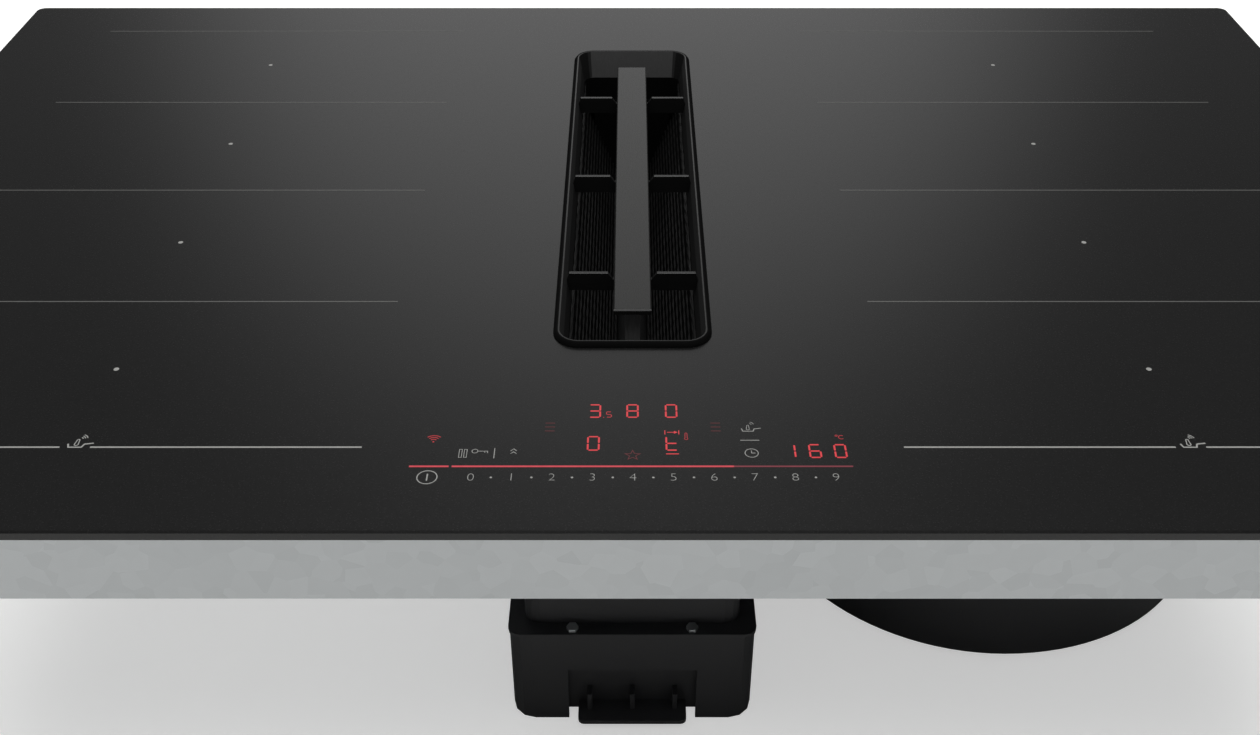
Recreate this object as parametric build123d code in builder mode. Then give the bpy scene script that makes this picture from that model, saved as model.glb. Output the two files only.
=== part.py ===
"""Downdraft induction cooktop: a black glass-ceramic plate with two long cooking zones, a lift-out air inlet
in its middle, the coils and power boards under the glass, and a flat blower that pulls the cooking fumes down.

Millimetres. +X is the cook's right, +Y is away from the cook, +Z is up.
The origin is the middle of the plate in X and Y, on the surface that the lower housing stands on.
"""

from build123d import *
from math import atan, cos, degrees, hypot, radians, sin
import os

os.makedirs("parts", exist_ok=True)

# ---------------------------------------------------------------- driving dimensions
# glass plate
glass_width = 802
glass_depth = 522
glass_thickness = 4
glass_corner = 6
glass_top_z = 223
glass_bevel = 0.8
glass_bottom_z = glass_top_z - glass_thickness

# air inlet, measured round the rim that stands on the glass
inlet_y = 22
rim_width = 68.6
rim_length = 322.4
rim_corner = 10.4
rim_height = 2.2
gasket_height = 0.4
skirt_width = 65.4
skirt_length = 319.2
skirt_depth = 14
rib_spacing = 98.3
rib_thickness = 2

# handle bar over the inlet
bar_width = 17.4
bar_length = 269.6
bar_thickness = 3
bar_top_z = glass_top_z + 2.6
post_radius = 3.5
post_y = 127

# grease filter under the inlet
filter_top_z = glass_top_z - skirt_depth
mesh_top_z = 193
mesh_foot_z = 141
mesh_top_x = 29.2
mesh_foot_x = 11.4
mesh_folds = 12
tray_bottom_z = 119
tray_height = 20
tray_width = 54
filter_length = 316

# air shaft below the inlet
shaft_width = 104
shaft_length = 344
shaft_wall = 2.5
shaft_bottom_z = 50

# steel casing under the glass
casing_width = 766
casing_depth = 476
casing_height = 54
casing_bottom_z = glass_bottom_z - casing_height
sheet = 1
opening_width = 128
opening_length = 362

# cooking zones, four oval coils a side
zone_inner_x = 109.4
zone_outer_x = 340
zone_front_y = -210.5
coil_pitch = 108.1
coils_per_side = 4
coil_length = 222
coil_width = 100
winding_thickness = 4
mica_thickness = 0.8
former_thickness = 3
ferrite_thickness = 3
carrier_thickness = 2

# blower
fan_x = 196
fan_y = 8
impeller_radius = 86
blade_count = 24
volute_step = 14
volute_radius = 135.5
housing_wall = 2.5
volute_floor_z = 10
volute_roof_z = 94
web_top_z = 52
outlet_y = 222
outlet_left_x = 121.5
plenum_radius = 95
plenum_roof_z = 158

# overflow tank under the shaft
tank_width = 116
tank_length = 356
tank_bottom_z = 3
tank_top_z = 54
tank_wall = 2.2

zone_x = (zone_inner_x + zone_outer_x) / 2
sides = {"left": -1, "right": 1}


def save(builder, name):
    """Labels a finished piece and writes its STEP file."""
    builder.part.label = name
    export_step(builder.part, f"parts/{name}.step")


fine_flats = 7


def soft_rectangle(width, length, corner, flats=3):
    """The points of a rectangle with corners turned in flats: few out of sight, fine_flats where it shows."""
    points = []
    for quarter, (x, y) in enumerate(((1, 1), (-1, 1), (-1, -1), (1, -1))):
        for step in range(flats + 1):
            turn = radians(90 * (quarter + step / flats))
            centre_x = x * (width / 2 - corner)
            centre_y = y * (length / 2 - corner)
            points.append((centre_x + corner * cos(turn), centre_y + corner * sin(turn)))
    return points


def ring(plane, centre, outer, inner, height):
    """Adds an upright ring between two soft rectangles, each given as width, length and corner radius."""
    with BuildSketch(plane) as outline:
        with Locations(centre):
            Polygon(*soft_rectangle(*outer))
            Polygon(*soft_rectangle(*inner), mode=Mode.SUBTRACT)
    extrude(outline.sketch, amount=height)


# ---------------------------------------------------------------- glass plate
cut_width = skirt_width + 0.6
cut_length = skirt_length + 0.6
cut_corner = 9.1

with BuildPart() as glass_top:
    with BuildSketch(Plane.XY.offset(glass_bottom_z)):
        Polygon(*soft_rectangle(glass_width, glass_depth, glass_corner, fine_flats))
        with Locations((0, inlet_y)):
            Polygon(*soft_rectangle(cut_width, cut_length, cut_corner, fine_flats), mode=Mode.SUBTRACT)
    extrude(amount=glass_thickness)
    top_face = glass_top.faces().sort_by(Axis.Z)[-1]
    chamfer(top_face.outer_wire().edges(), glass_bevel)
save(glass_top, "glass_top")

# foam tape that the plate rests on, round the worktop cut-out
tape_thickness = 2
with BuildPart() as worktop_seal:
    tape_plane = Plane.XY.offset(glass_bottom_z - tape_thickness)
    ring(tape_plane, (0, 0), (798, 518, 6), (784, 494, 6), tape_thickness)
save(worktop_seal, "worktop_seal")

# guide ring glued under the glass round the inlet opening
collar_bottom_z = 203
with BuildPart() as inlet_collar:
    ring(
        Plane.XY.offset(collar_bottom_z),
        (0, inlet_y),
        (70.6, 324.2, 12),
        (skirt_width + 1.2, skirt_length + 1.2, 9.4),
        glass_bottom_z - collar_bottom_z,
    )
    ring(
        Plane.XY.offset(glass_bottom_z - 2.5),
        (0, inlet_y),
        (92, 338, 22),
        (68, 322, 10),
        2.5,
    )
save(inlet_collar, "inlet_collar")

# ---------------------------------------------------------------- air inlet, lifts out in one piece
rim_base_z = glass_top_z + gasket_height
rim_top_z = glass_top_z + rim_height
mouth_width = 64.2
mouth_length = 318
throat_width = 59.8
mouth_draw = (mouth_width - throat_width) / 2
throat_length = mouth_length - 2 * mouth_draw
mouth_corner = 8.2
rib_inner_x = 11.9
rib_outer_x = 30.4
spine_width = 15.6

with BuildPart() as inlet_frame:
    # the rim that lies on the glass, and the skirt that hangs through it
    with BuildSketch(Plane.XY.offset(rim_base_z)):
        with Locations((0, inlet_y)):
            Polygon(*soft_rectangle(rim_width, rim_length, rim_corner, fine_flats))
    extrude(amount=rim_top_z - rim_base_z)
    chamfer(inlet_frame.faces().sort_by(Axis.Z)[-1].edges(), 0.6)
    with BuildSketch(Plane.XY.offset(filter_top_z)):
        with Locations((0, inlet_y)):
            Polygon(*soft_rectangle(skirt_width, skirt_length, 8.8, fine_flats))
    extrude(amount=rim_base_z - filter_top_z)
    # the mouth narrows downwards
    with BuildSketch(Plane.XY.offset(filter_top_z)):
        with Locations((0, inlet_y)):
            Polygon(*soft_rectangle(throat_width, throat_length, mouth_corner - mouth_draw, fine_flats))
    with BuildSketch(Plane.XY.offset(rim_top_z)):
        with Locations((0, inlet_y)):
            Polygon(*soft_rectangle(mouth_width, mouth_length, mouth_corner, fine_flats))
    loft(ruled=True, mode=Mode.SUBTRACT)
    # cross ribs, dipped in the middle to pass under the handle bar
    for row in (-1, 0, 1):
        with BuildSketch(Plane.XZ.offset(-(inlet_y + row * rib_spacing + rib_thickness / 2))):
            with BuildLine():
                Polyline(
                    (-31.2, glass_top_z - 4.6),
                    (-rib_outer_x, glass_top_z - 0.6),
                    (-rib_inner_x, glass_top_z - 0.6),
                    (-9.4, glass_top_z - 4.0),
                    (9.4, glass_top_z - 4.0),
                    (rib_inner_x, glass_top_z - 0.6),
                    (rib_outer_x, glass_top_z - 0.6),
                    (31.2, glass_top_z - 4.6),
                    (31.6, glass_top_z - 4.6),
                    (31.6, glass_top_z - 10.2),
                    (-31.6, glass_top_z - 10.2),
                    (-31.6, glass_top_z - 4.6),
                    close=True,
                )
            make_face()
        extrude(amount=rib_thickness)
    # flat spine under the bar that ties the ribs together
    with BuildSketch(Plane.XY.offset(glass_top_z - 10.2)):
        with Locations((0, inlet_y)):
            Rectangle(spine_width, 2 * rib_spacing + rib_thickness)
            with GridLocations(0, rib_spacing / 2, 1, 4):
                Rectangle(spine_width - 7, rib_spacing / 2 - 10, mode=Mode.SUBTRACT)
    extrude(amount=2)
save(inlet_frame, "inlet_frame")

# soft black lip between the rim and the glass, which shows as a dark line round the rim
lip_reach = 1.5
with BuildPart() as rim_gasket:
    ring(
        Plane.XY.offset(glass_top_z),
        (0, inlet_y),
        (rim_width + 2 * lip_reach, rim_length + 2 * lip_reach, rim_corner + lip_reach, fine_flats),
        (skirt_width + 1, skirt_length + 1, 9.3),
        gasket_height,
    )
save(rim_gasket, "rim_gasket")

# flat bar that the cook lifts the inlet by
bar_bottom_z = bar_top_z - bar_thickness
with BuildPart() as handle_bar:
    with BuildSketch(Plane.XY.offset(bar_bottom_z)):
        with Locations((0, inlet_y)):
            Rectangle(bar_width, bar_length)
    extrude(amount=bar_thickness)
    chamfer(handle_bar.faces().sort_by(Axis.Z)[-1].edges(), 0.5)
save(handle_bar, "handle_bar")

# round posts from the bar down to the tray of the filter
tray_floor = 1.6
tray_floor_z = tray_bottom_z + tray_floor
with BuildPart() as handle_posts:
    with BuildSketch(Plane.XY.offset(tray_floor_z)):
        with Locations((0, inlet_y - post_y), (0, inlet_y + post_y)):
            Circle(post_radius)
    extrude(amount=bar_bottom_z - tray_floor_z)
save(handle_posts, "handle_posts")

# filter body: collar under the skirt, two end walls and the tray that catches grease and water
end_wall = 1.8
with BuildPart() as filter_tray:
    ring(
        Plane.XY.offset(mesh_top_z),
        (0, inlet_y),
        (62.4, filter_length, 7.4),
        (throat_width, filter_length - 2.4, 6.2),
        filter_top_z - mesh_top_z,
    )
    with BuildSketch(Plane.XY.offset(tray_bottom_z)):
        with Locations((0, inlet_y)):
            Polygon(*soft_rectangle(tray_width, filter_length, 6))
    extrude(amount=tray_height)
    with BuildSketch(Plane.XY.offset(tray_floor_z)):
        with Locations((0, inlet_y)):
            Polygon(*soft_rectangle(tray_width - 3.2, filter_length - 3.2, 4.6))
    extrude(amount=tray_height, mode=Mode.SUBTRACT)
    # ledges that the feet of the mesh panels stand on
    with BuildSketch(Plane.XY.offset(tray_floor_z - 0.4)):
        with Locations((-mesh_foot_x, inlet_y), (mesh_foot_x, inlet_y)):
            Rectangle(1.6, filter_length - 3)
    extrude(amount=mesh_foot_z - tray_floor_z + 0.4)
    # end walls from the tray up to the collar
    for end in (-1, 1):
        wall_y = inlet_y + end * (filter_length / 2 - end_wall / 2)
        with BuildSketch(Plane.XZ.offset(-(wall_y + end_wall / 2))):
            with BuildLine():
                Polyline(
                    (-19.5, tray_bottom_z + 1),
                    (19.5, tray_bottom_z + 1),
                    (23.6, tray_bottom_z + tray_height),
                    (24, mesh_top_z + 1),
                    (-24, mesh_top_z + 1),
                    (-23.6, tray_bottom_z + tray_height),
                    close=True,
                )
            make_face()
        extrude(amount=end_wall)
save(filter_tray, "filter_tray")

# folded mesh panels, standing in a V
mesh_length = filter_length - 2 * end_wall - 0.4
mesh_run = hypot(mesh_top_x - mesh_foot_x, mesh_top_z - mesh_foot_z)
along_x = (mesh_top_x - mesh_foot_x) / mesh_run
along_z = (mesh_top_z - mesh_foot_z) / mesh_run
fold_height = 2.4
mesh_thickness = 1.1
edge_strip = 1.6


def mesh_point(side, run, out):
    """A point run mm up the panel from its foot, and out mm off the panel's middle plane."""
    x = mesh_foot_x + run * along_x + out * along_z
    z = mesh_foot_z + run * along_z - out * along_x
    return side * x, z


for side_name, side in sides.items():
    with BuildPart() as mesh_panel:
        with BuildSketch(Plane.XZ.offset(-(inlet_y + mesh_length / 2))) as folds:
            with BuildLine():
                crests = [
                    mesh_point(side, edge_strip + step * (mesh_run - 2 * edge_strip) / (2 * mesh_folds),
                               fold_height / 2 * (-1) ** step)
                    for step in range(2 * mesh_folds + 1)
                ]
                Polyline(*crests)
            trace(line_width=mesh_thickness)
            # edge strips that stand on the ledge and reach up to the collar
            foot_strip = (side * mesh_foot_x, mesh_foot_z + edge_strip)
            top_strip = (side * mesh_top_x, mesh_top_z - edge_strip)
            with Locations(foot_strip, top_strip):
                Rectangle(2.6, 2 * edge_strip)
        extrude(amount=mesh_length)
    save(mesh_panel, f"{side_name}_mesh_panel")

# screws up through the tray into the posts
with BuildPart() as post_screws:
    with BuildSketch(Plane.XY.offset(tray_bottom_z - 1.6)):
        with Locations((0, inlet_y - post_y), (0, inlet_y + post_y)):
            RegularPolygon(3.4, 8)
    extrude(amount=1.6)
save(post_screws, "post_screws")

# ---------------------------------------------------------------- steel casing
casing_inner_z = casing_bottom_z + sheet
fan_centre = (247, -178)
with BuildPart() as casing:
    with BuildSketch(Plane.XY.offset(casing_bottom_z)):
        Polygon(*soft_rectangle(casing_width, casing_depth, 6))
    extrude(amount=casing_height)
    offset(amount=-sheet, openings=casing.faces().sort_by(Axis.Z)[-1])
    # flange that the glass is bonded to
    lip_plane = Plane.XY.offset(glass_bottom_z - sheet)
    ring(lip_plane, (0, 0), (776, 486, 10), (casing_width - 2, casing_depth - 2, 5), sheet)
    # opening for the air shaft, with its edge turned up
    with BuildSketch(Plane.XY.offset(casing_bottom_z)):
        with Locations((0, inlet_y)):
            Polygon(*soft_rectangle(opening_width, opening_length, 10))
    extrude(amount=sheet, mode=Mode.SUBTRACT)
    ring(
        Plane.XY.offset(casing_bottom_z),
        (0, inlet_y),
        (opening_width + 2, opening_length + 2, 11),
        (opening_width, opening_length, 10),
        12,
    )
    # air inlets under the two cooling fans
    with BuildSketch(Plane.XY.offset(casing_bottom_z)):
        for side in sides.values():
            with Locations((side * fan_centre[0], fan_centre[1])):
                with GridLocations(0, 12, 1, 5):
                    Rectangle(58, 6)
    extrude(amount=sheet, mode=Mode.SUBTRACT)
    # warm air leaves through slots in the back wall
    with BuildSketch(Plane.XZ.offset(-casing_depth / 2)):
        for side in sides.values():
            with Locations((side * 247, casing_bottom_z + 24)):
                with GridLocations(18, 0, 8, 1):
                    Rectangle(8, 26)
    extrude(amount=sheet * 2, both=True, mode=Mode.SUBTRACT)
save(casing, "casing")

# clamps that pull the cooktop down on the worktop
clamp_foot_z = 177
clamp_places = [(side * casing_width / 2, y) for side in sides.values() for y in (-150, 150)]
with BuildPart() as worktop_clamps:
    for x, y in clamp_places:
        side = 1 if x > 0 else -1
        with BuildSketch(Plane.XZ.offset(-(y + 11))):
            with BuildLine():
                Polyline(
                    (x, clamp_foot_z),
                    (x + side * 15, clamp_foot_z),
                    (x + side * 15, clamp_foot_z + 2),
                    (x + side * 2, clamp_foot_z + 2),
                    (x + side * 2, 208),
                    (x, 208),
                    close=True,
                )
            make_face()
        extrude(amount=22)
    with BuildSketch(Plane.XY.offset(clamp_foot_z)):
        for x, y in clamp_places:
            with Locations((x * (1 + 9 / (casing_width / 2)), y)):
                RegularPolygon(2.3, 6)
    extrude(amount=2, mode=Mode.SUBTRACT)
save(worktop_clamps, "worktop_clamps")

with BuildPart() as clamp_screws:
    for x, y in clamp_places:
        screw_x = x * (1 + 9 / (casing_width / 2))
        with BuildSketch(Plane.XY.offset(clamp_foot_z - 12)):
            with Locations((screw_x, y)):
                RegularPolygon(2, 6)
        extrude(amount=26)
        with BuildSketch(Plane.XY.offset(clamp_foot_z - 15)):
            with Locations((screw_x, y)):
                RegularPolygon(3.8, 6)
        extrude(amount=3)
save(clamp_screws, "clamp_screws")

# ---------------------------------------------------------------- induction coils
mica_z = glass_bottom_z - mica_thickness
winding_z = mica_z - winding_thickness
former_z = winding_z - former_thickness
ferrite_z = former_z - ferrite_thickness
carrier_z = ferrite_z - carrier_thickness
coil_rows = [zone_front_y + coil_pitch * (row + 0.5) for row in range(coils_per_side)]
zone_mid_y = sum(coil_rows) / coils_per_side
eye_length = 150
eye_width = 28


def oval(length, width, sides_round=10):
    """The corners of an oval with straight sides, as the wound coils show it."""
    turns = [radians(360 * (step + 0.5) / sides_round) for step in range(sides_round)]
    return [(length / 2 * cos(turn), width / 2 * sin(turn)) for turn in turns]


for side_name, side in sides.items():
    centres = [(side * zone_x, y) for y in coil_rows]

    # flat oval windings of litz wire
    with BuildPart() as coil_windings:
        with BuildSketch(Plane.XY.offset(winding_z)):
            with Locations(*centres):
                Polygon(*oval(coil_length, coil_width))
                Polygon(*oval(eye_length, eye_width), mode=Mode.SUBTRACT)
        extrude(amount=winding_thickness)
    save(coil_windings, f"{side_name}_coil_windings")

    # plastic formers that carry the windings, with a rim round each end
    with BuildPart() as coil_formers:
        with BuildSketch(Plane.XY.offset(former_z)):
            with Locations(*centres):
                Rectangle(coil_length + 5, coil_width + 5)
            chamfer(vertices(), 24)
            with Locations(*centres):
                Rectangle(eye_length - 30, 12, mode=Mode.SUBTRACT)
        extrude(amount=former_thickness)
    save(coil_formers, f"{side_name}_coil_formers")

    # aluminium plate that holds the four coils up, its long edges folded down
    with BuildPart() as coil_carrier:
        with BuildSketch(Plane.XY.offset(carrier_z)):
            with Locations((side * zone_x, zone_mid_y)):
                Rectangle(234, 436)
            with Locations(*centres):
                Rectangle(80, 9, mode=Mode.SUBTRACT)
        extrude(amount=carrier_thickness)
        with BuildSketch(Plane.XY.offset(carrier_z - 6)):
            for edge in (-1, 1):
                with Locations((side * zone_x + edge * (117 - carrier_thickness / 2), zone_mid_y)):
                    Rectangle(carrier_thickness, 400)
        extrude(amount=6)
    save(coil_carrier, f"{side_name}_coil_carrier")

all_centres = [(side * zone_x, y) for side in sides.values() for y in coil_rows]

# ferrite bars under the formers
with BuildPart() as ferrite_bars:
    with BuildSketch(Plane.XY.offset(ferrite_z)):
        for x, y in all_centres:
            with Locations((x, y)):
                with GridLocations(90, 56, 2, 2):
                    Rectangle(22, 34)
    extrude(amount=ferrite_thickness)
save(ferrite_bars, "ferrite_bars")

# temperature sensors that touch the glass in the eye of each coil
with BuildPart() as coil_sensors:
    with BuildSketch(Plane.XY.offset(winding_z)):
        with Locations(*all_centres):
            RegularPolygon(5, 6)
    extrude(amount=winding_thickness + mica_thickness)
save(coil_sensors, "coil_sensors")

# mica sheets between the windings and the glass
with BuildPart() as mica_sheets:
    with BuildSketch(Plane.XY.offset(mica_z)):
        with Locations((-zone_x, zone_mid_y), (zone_x, zone_mid_y)):
            Rectangle(230, 434)
        with Locations(*all_centres):
            Rectangle(12, 12, mode=Mode.SUBTRACT)
    extrude(amount=mica_thickness)
save(mica_sheets, "mica_sheets")

# folded springs that press the carriers up against the glass
spring_rise = carrier_z - casing_inner_z
with BuildPart() as carrier_springs:
    with BuildSketch(Plane.XZ) as spring_side:
        with BuildLine():
            Polyline(
                (-8, 0.5),
                (7, 0.5),
                (9.5, spring_rise * 0.3),
                (-9.5, spring_rise * 0.7),
                (-7, spring_rise - 0.5),
                (8, spring_rise - 0.5),
            )
        trace(line_width=1)
    for side in sides.values():
        for x in (side * zone_x - 100, side * zone_x + 100):
            for y in (zone_mid_y - 196, zone_mid_y + 196):
                spring_face = spring_side.sketch.moved(Location((x, y + 7, casing_inner_z)))
                extrude(spring_face, amount=14)
save(carrier_springs, "carrier_springs")

# ---------------------------------------------------------------- power electronics, one set a side
board_width = 212
board_length = 236
board_z = casing_inner_z + 6
board_y = 0
fin_count = 11
for side_name, side in sides.items():
    board_x = side * 247

    with BuildPart() as power_board:
        with BuildSketch(Plane.XY.offset(board_z)):
            with Locations((board_x, board_y)):
                Rectangle(board_width, board_length)
        extrude(amount=1.6)
    save(power_board, f"{side_name}_power_board")

    # comb section, extruded along the air stream
    sink_base_z = board_z + 5
    with BuildPart() as heat_sink:
        with BuildSketch(Plane.XZ.offset(-(board_y + 100))):
            with Locations((board_x - side * 20, sink_base_z + 2)):
                Rectangle(66, 4)
            with Locations((board_x - side * 20, sink_base_z + 13)):
                with GridLocations(6.3, 0, fin_count, 1):
                    Rectangle(1.6, 20)
        extrude(amount=190)
    save(heat_sink, f"{side_name}_heat_sink")

    # switching transistors under the heat sink, capacitors and chokes beside it
    with BuildPart() as board_components:
        with BuildSketch(Plane.XY.offset(board_z + 1.6)):
            with Locations((board_x - side * 20, board_y)):
                with GridLocations(40, 44, 2, 4):
                    Rectangle(16, 21)
        extrude(amount=sink_base_z - board_z - 1.6)
        with BuildSketch(Plane.XY.offset(board_z + 1.6)):
            with Locations((board_x + side * 62, board_y - 60), (board_x + side * 62, board_y - 10)):
                Rectangle(32, 42)
        extrude(amount=25)
        with BuildSketch(Plane.XY.offset(board_z + 1.6)):
            with Locations((board_x + side * 66, board_y + 46), (board_x + side * 66, board_y + 88)):
                RegularPolygon(17, 12)
                RegularPolygon(7, 6, mode=Mode.SUBTRACT)
        extrude(amount=16)
        with BuildSketch(Plane.XY.offset(board_z + 1.6)):
            with Locations((board_x - side * 80, board_y - 70), (board_x - side * 80, board_y - 40)):
                RegularPolygon(10, 8)
        extrude(amount=22)
    save(board_components, f"{side_name}_board_components")

    # radial cooling fan: square housing, open below and towards the heat sink
    fan_x_here = side * fan_centre[0]
    fan_size = 96
    fan_height = 27
    with BuildPart() as cooling_fan_housing:
        with BuildSketch(Plane.XY.offset(casing_inner_z)):
            with Locations((fan_x_here, fan_centre[1])):
                Polygon(*soft_rectangle(fan_size, fan_size, 6))
        extrude(amount=fan_height)
        with BuildSketch(Plane.XY.offset(casing_inner_z + 2)):
            with Locations((fan_x_here, fan_centre[1])):
                RegularPolygon(43, 24)
            with Locations((fan_x_here + side * 10, fan_centre[1] + 30)):
                Rectangle(66, 50)
        extrude(amount=fan_height - 4, mode=Mode.SUBTRACT)
        with BuildSketch(Plane.XY.offset(casing_inner_z)):
            with Locations((fan_x_here, fan_centre[1])):
                RegularPolygon(31, 16)
        extrude(amount=2, mode=Mode.SUBTRACT)
        # bearing of the rotor, in the roof
        with BuildSketch(Plane.XY.offset(casing_inner_z + fan_height)):
            with Locations((fan_x_here, fan_centre[1])):
                RegularPolygon(7, 8)
        extrude(amount=3)
        with BuildSketch(Plane.XY.offset(casing_inner_z + fan_height - 2)):
            with Locations((fan_x_here, fan_centre[1])):
                RegularPolygon(1.55, 12, major_radius=False)
        extrude(amount=4.2, mode=Mode.SUBTRACT)
    save(cooling_fan_housing, f"{side_name}_cooling_fan_housing")

    with BuildPart() as cooling_fan_rotor:
        with BuildSketch(Plane.XY.offset(casing_inner_z + 4)):
            with Locations((fan_x_here, fan_centre[1])):
                RegularPolygon(18, 12)
        extrude(amount=fan_height - 7)
        with BuildSketch(Plane.XY.offset(casing_inner_z + fan_height - 3)):
            with Locations((fan_x_here, fan_centre[1])):
                RegularPolygon(1.5, 12)
        extrude(amount=5)
        with BuildSketch(Plane.XY.offset(casing_inner_z + 5)):
            with Locations((fan_x_here, fan_centre[1])):
                with PolarLocations(28, 7):
                    Rectangle(24, 1.6, rotation=24)
        extrude(amount=fan_height - 9)
    save(cooling_fan_rotor, f"{side_name}_cooling_fan_rotor")

with BuildPart() as board_standoffs:
    with BuildSketch(Plane.XY.offset(casing_inner_z)):
        with Locations((-247, board_y), (247, board_y)):
            with GridLocations(board_width - 12, board_length - 12, 2, 2):
                RegularPolygon(4.2, 6)
    extrude(amount=board_z - casing_inner_z)
save(board_standoffs, "board_standoffs")

# ---------------------------------------------------------------- touch control under the front of the glass
touch_y = -197
touch_z = 208.5
with BuildPart() as touch_board:
    with BuildSketch(Plane.XY.offset(touch_z)):
        with Locations((0, touch_y)):
            Rectangle(204, 66)
    extrude(amount=1.6)
save(touch_board, "touch_board")

# light box with a window for every digit of the display
digit_windows = [(-12, 15), (1, 15), (15, 15), (-15, -3), (15, -3), (64, -7), (72, -7), (80, -7)]
with BuildPart() as display_light_box:
    with BuildSketch(Plane.XY.offset(touch_z + 1.6)):
        with Locations((8, touch_y + 6)):
            Rectangle(168, 44)
        with Locations(*[(x, touch_y + 6 + y) for x, y in digit_windows]):
            Rectangle(6.4, 11, mode=Mode.SUBTRACT)
    extrude(amount=glass_bottom_z - touch_z - 1.6)
save(display_light_box, "display_light_box")

# conductive foam pads, one under every touch key
pad_count = 10
pad_step = 16
pad_size = 6
with BuildPart() as touch_pads:
    with BuildSketch(Plane.XY.offset(touch_z + 1.6)):
        with Locations((10, touch_y - 24)):
            with GridLocations(pad_step, 0, pad_count, 1):
                Rectangle(pad_size, pad_size)
        with Locations((-80, touch_y - 24), (-88, touch_y + 4), (-88, touch_y + 16)):
            Rectangle(pad_size, pad_size)
    extrude(amount=glass_bottom_z - touch_z - 1.6)
save(touch_pads, "touch_pads")

# ---------------------------------------------------------------- mains terminals
terminal_x = -292
terminal_y = 190
terminal_height = 30
terminal_z = casing_bottom_z - terminal_height
with BuildPart() as terminal_box:
    with BuildSketch(Plane.XY.offset(terminal_z)):
        with Locations((terminal_x, terminal_y)):
            Polygon(*soft_rectangle(104, 66, 5))
    extrude(amount=terminal_height)
    offset(amount=-2, openings=terminal_box.faces().sort_by(Axis.Z)[0])
    with BuildSketch(Plane.XZ.offset(-(terminal_y + 35))):
        with Locations((terminal_x, terminal_z + 14)):
            RegularPolygon(9, 12, major_radius=False)
    extrude(amount=4, mode=Mode.SUBTRACT)
save(terminal_box, "terminal_box")

with BuildPart() as terminal_cover:
    with BuildSketch(Plane.XY.offset(terminal_z - 2)):
        with Locations((terminal_x, terminal_y)):
            Polygon(*soft_rectangle(104, 66, 5))
    extrude(amount=2)
    with BuildSketch(Plane.XY.offset(terminal_z)):
        with Locations((terminal_x, terminal_y)):
            Polygon(*soft_rectangle(99, 61, 3))
            Polygon(*soft_rectangle(95, 57, 2), mode=Mode.SUBTRACT)
    extrude(amount=2)
save(terminal_cover, "terminal_cover")

with BuildPart() as terminal_block:
    with BuildSketch(Plane.XY.offset(casing_bottom_z - 20)):
        with Locations((terminal_x, terminal_y - 8)):
            Rectangle(62, 26)
    extrude(amount=18)
    with BuildSketch(Plane.XY.offset(casing_bottom_z - 20)):
        with Locations((terminal_x, terminal_y - 8)):
            with GridLocations(12, 12, 5, 2):
                Rectangle(6, 6)
    extrude(amount=6, mode=Mode.SUBTRACT)
save(terminal_block, "terminal_block")

# gland that the mains lead goes in through
gland_bore = 6.5
gland_length = 18
gland_y = terminal_y + 29
with BuildPart() as cable_gland:
    with BuildSketch(Plane.XZ.offset(-(gland_y + 4))):
        with Locations((terminal_x, terminal_z + 14)):
            RegularPolygon(9, 12)
    extrude(amount=4)
    with BuildSketch(Plane.XZ.offset(-(gland_y + gland_length))):
        with Locations((terminal_x, terminal_z + 14)):
            RegularPolygon(12, 6)
    extrude(amount=gland_length - 4)
    with BuildSketch(Plane.XZ.offset(-(gland_y + gland_length))):
        with Locations((terminal_x, terminal_z + 14)):
            Circle(gland_bore)
    extrude(amount=gland_length, mode=Mode.SUBTRACT)
save(cable_gland, "cable_gland")

# ---------------------------------------------------------------- air shaft
window_y = (-85, 101)
window_z = (99, 156)
with BuildPart() as air_shaft:
    ring(
        Plane.XY.offset(shaft_bottom_z),
        (0, inlet_y),
        (shaft_width + 2 * shaft_wall, shaft_length + 2 * shaft_wall, 8),
        (shaft_width, shaft_length, 5.5),
        glass_bottom_z - 1 - shaft_bottom_z,
    )
    for flange_z, flange_width, flange_length in ((glass_bottom_z - 3, 122, 360), (60, 125, 365)):
        ring(
            Plane.XY.offset(flange_z),
            (0, inlet_y),
            (flange_width, flange_length, 6),
            (shaft_width + shaft_wall, shaft_length + shaft_wall, 7),
            2,
        )
    # window to the blower
    with BuildSketch(Plane.YZ.offset(shaft_width / 2 - 2)):
        with Locations((sum(window_y) / 2, sum(window_z) / 2)):
            Polygon(*soft_rectangle(window_y[1] - window_y[0], window_z[1] - window_z[0], 5))
    extrude(amount=8, mode=Mode.SUBTRACT)
save(air_shaft, "air_shaft")

# sheet-steel frame that holds the shaft up against the casing
with BuildPart() as shaft_frame:
    ring(
        Plane.XY.offset(casing_bottom_z - 2),
        (0, inlet_y),
        (148, 382, 6),
        (shaft_width + 2 * shaft_wall, shaft_length + 2 * shaft_wall, 8),
        2,
    )
save(shaft_frame, "shaft_frame")

# screws up into the casing, and down into the lower housing
with BuildPart() as shaft_screws:
    with BuildSketch(Plane.XY.offset(casing_bottom_z - 4)):
        with Locations((0, inlet_y)):
            with GridLocations(60, 374, 2, 2):
                RegularPolygon(3, 6)
            with GridLocations(139, 300, 2, 2):
                RegularPolygon(3, 6)
    extrude(amount=2)
    with BuildSketch(Plane.XY.offset(62)):
        with Locations((0, inlet_y)):
            with GridLocations(60, 357.2, 2, 2):
                RegularPolygon(3, 6)
    extrude(amount=2)
save(shaft_screws, "shaft_screws")

with BuildPart() as shaft_gasket:
    ring(Plane.XY.offset(glass_bottom_z - 1), (0, inlet_y), (120, 358, 11), (110, 350, 8), 1)
save(shaft_gasket, "shaft_gasket")

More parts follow.
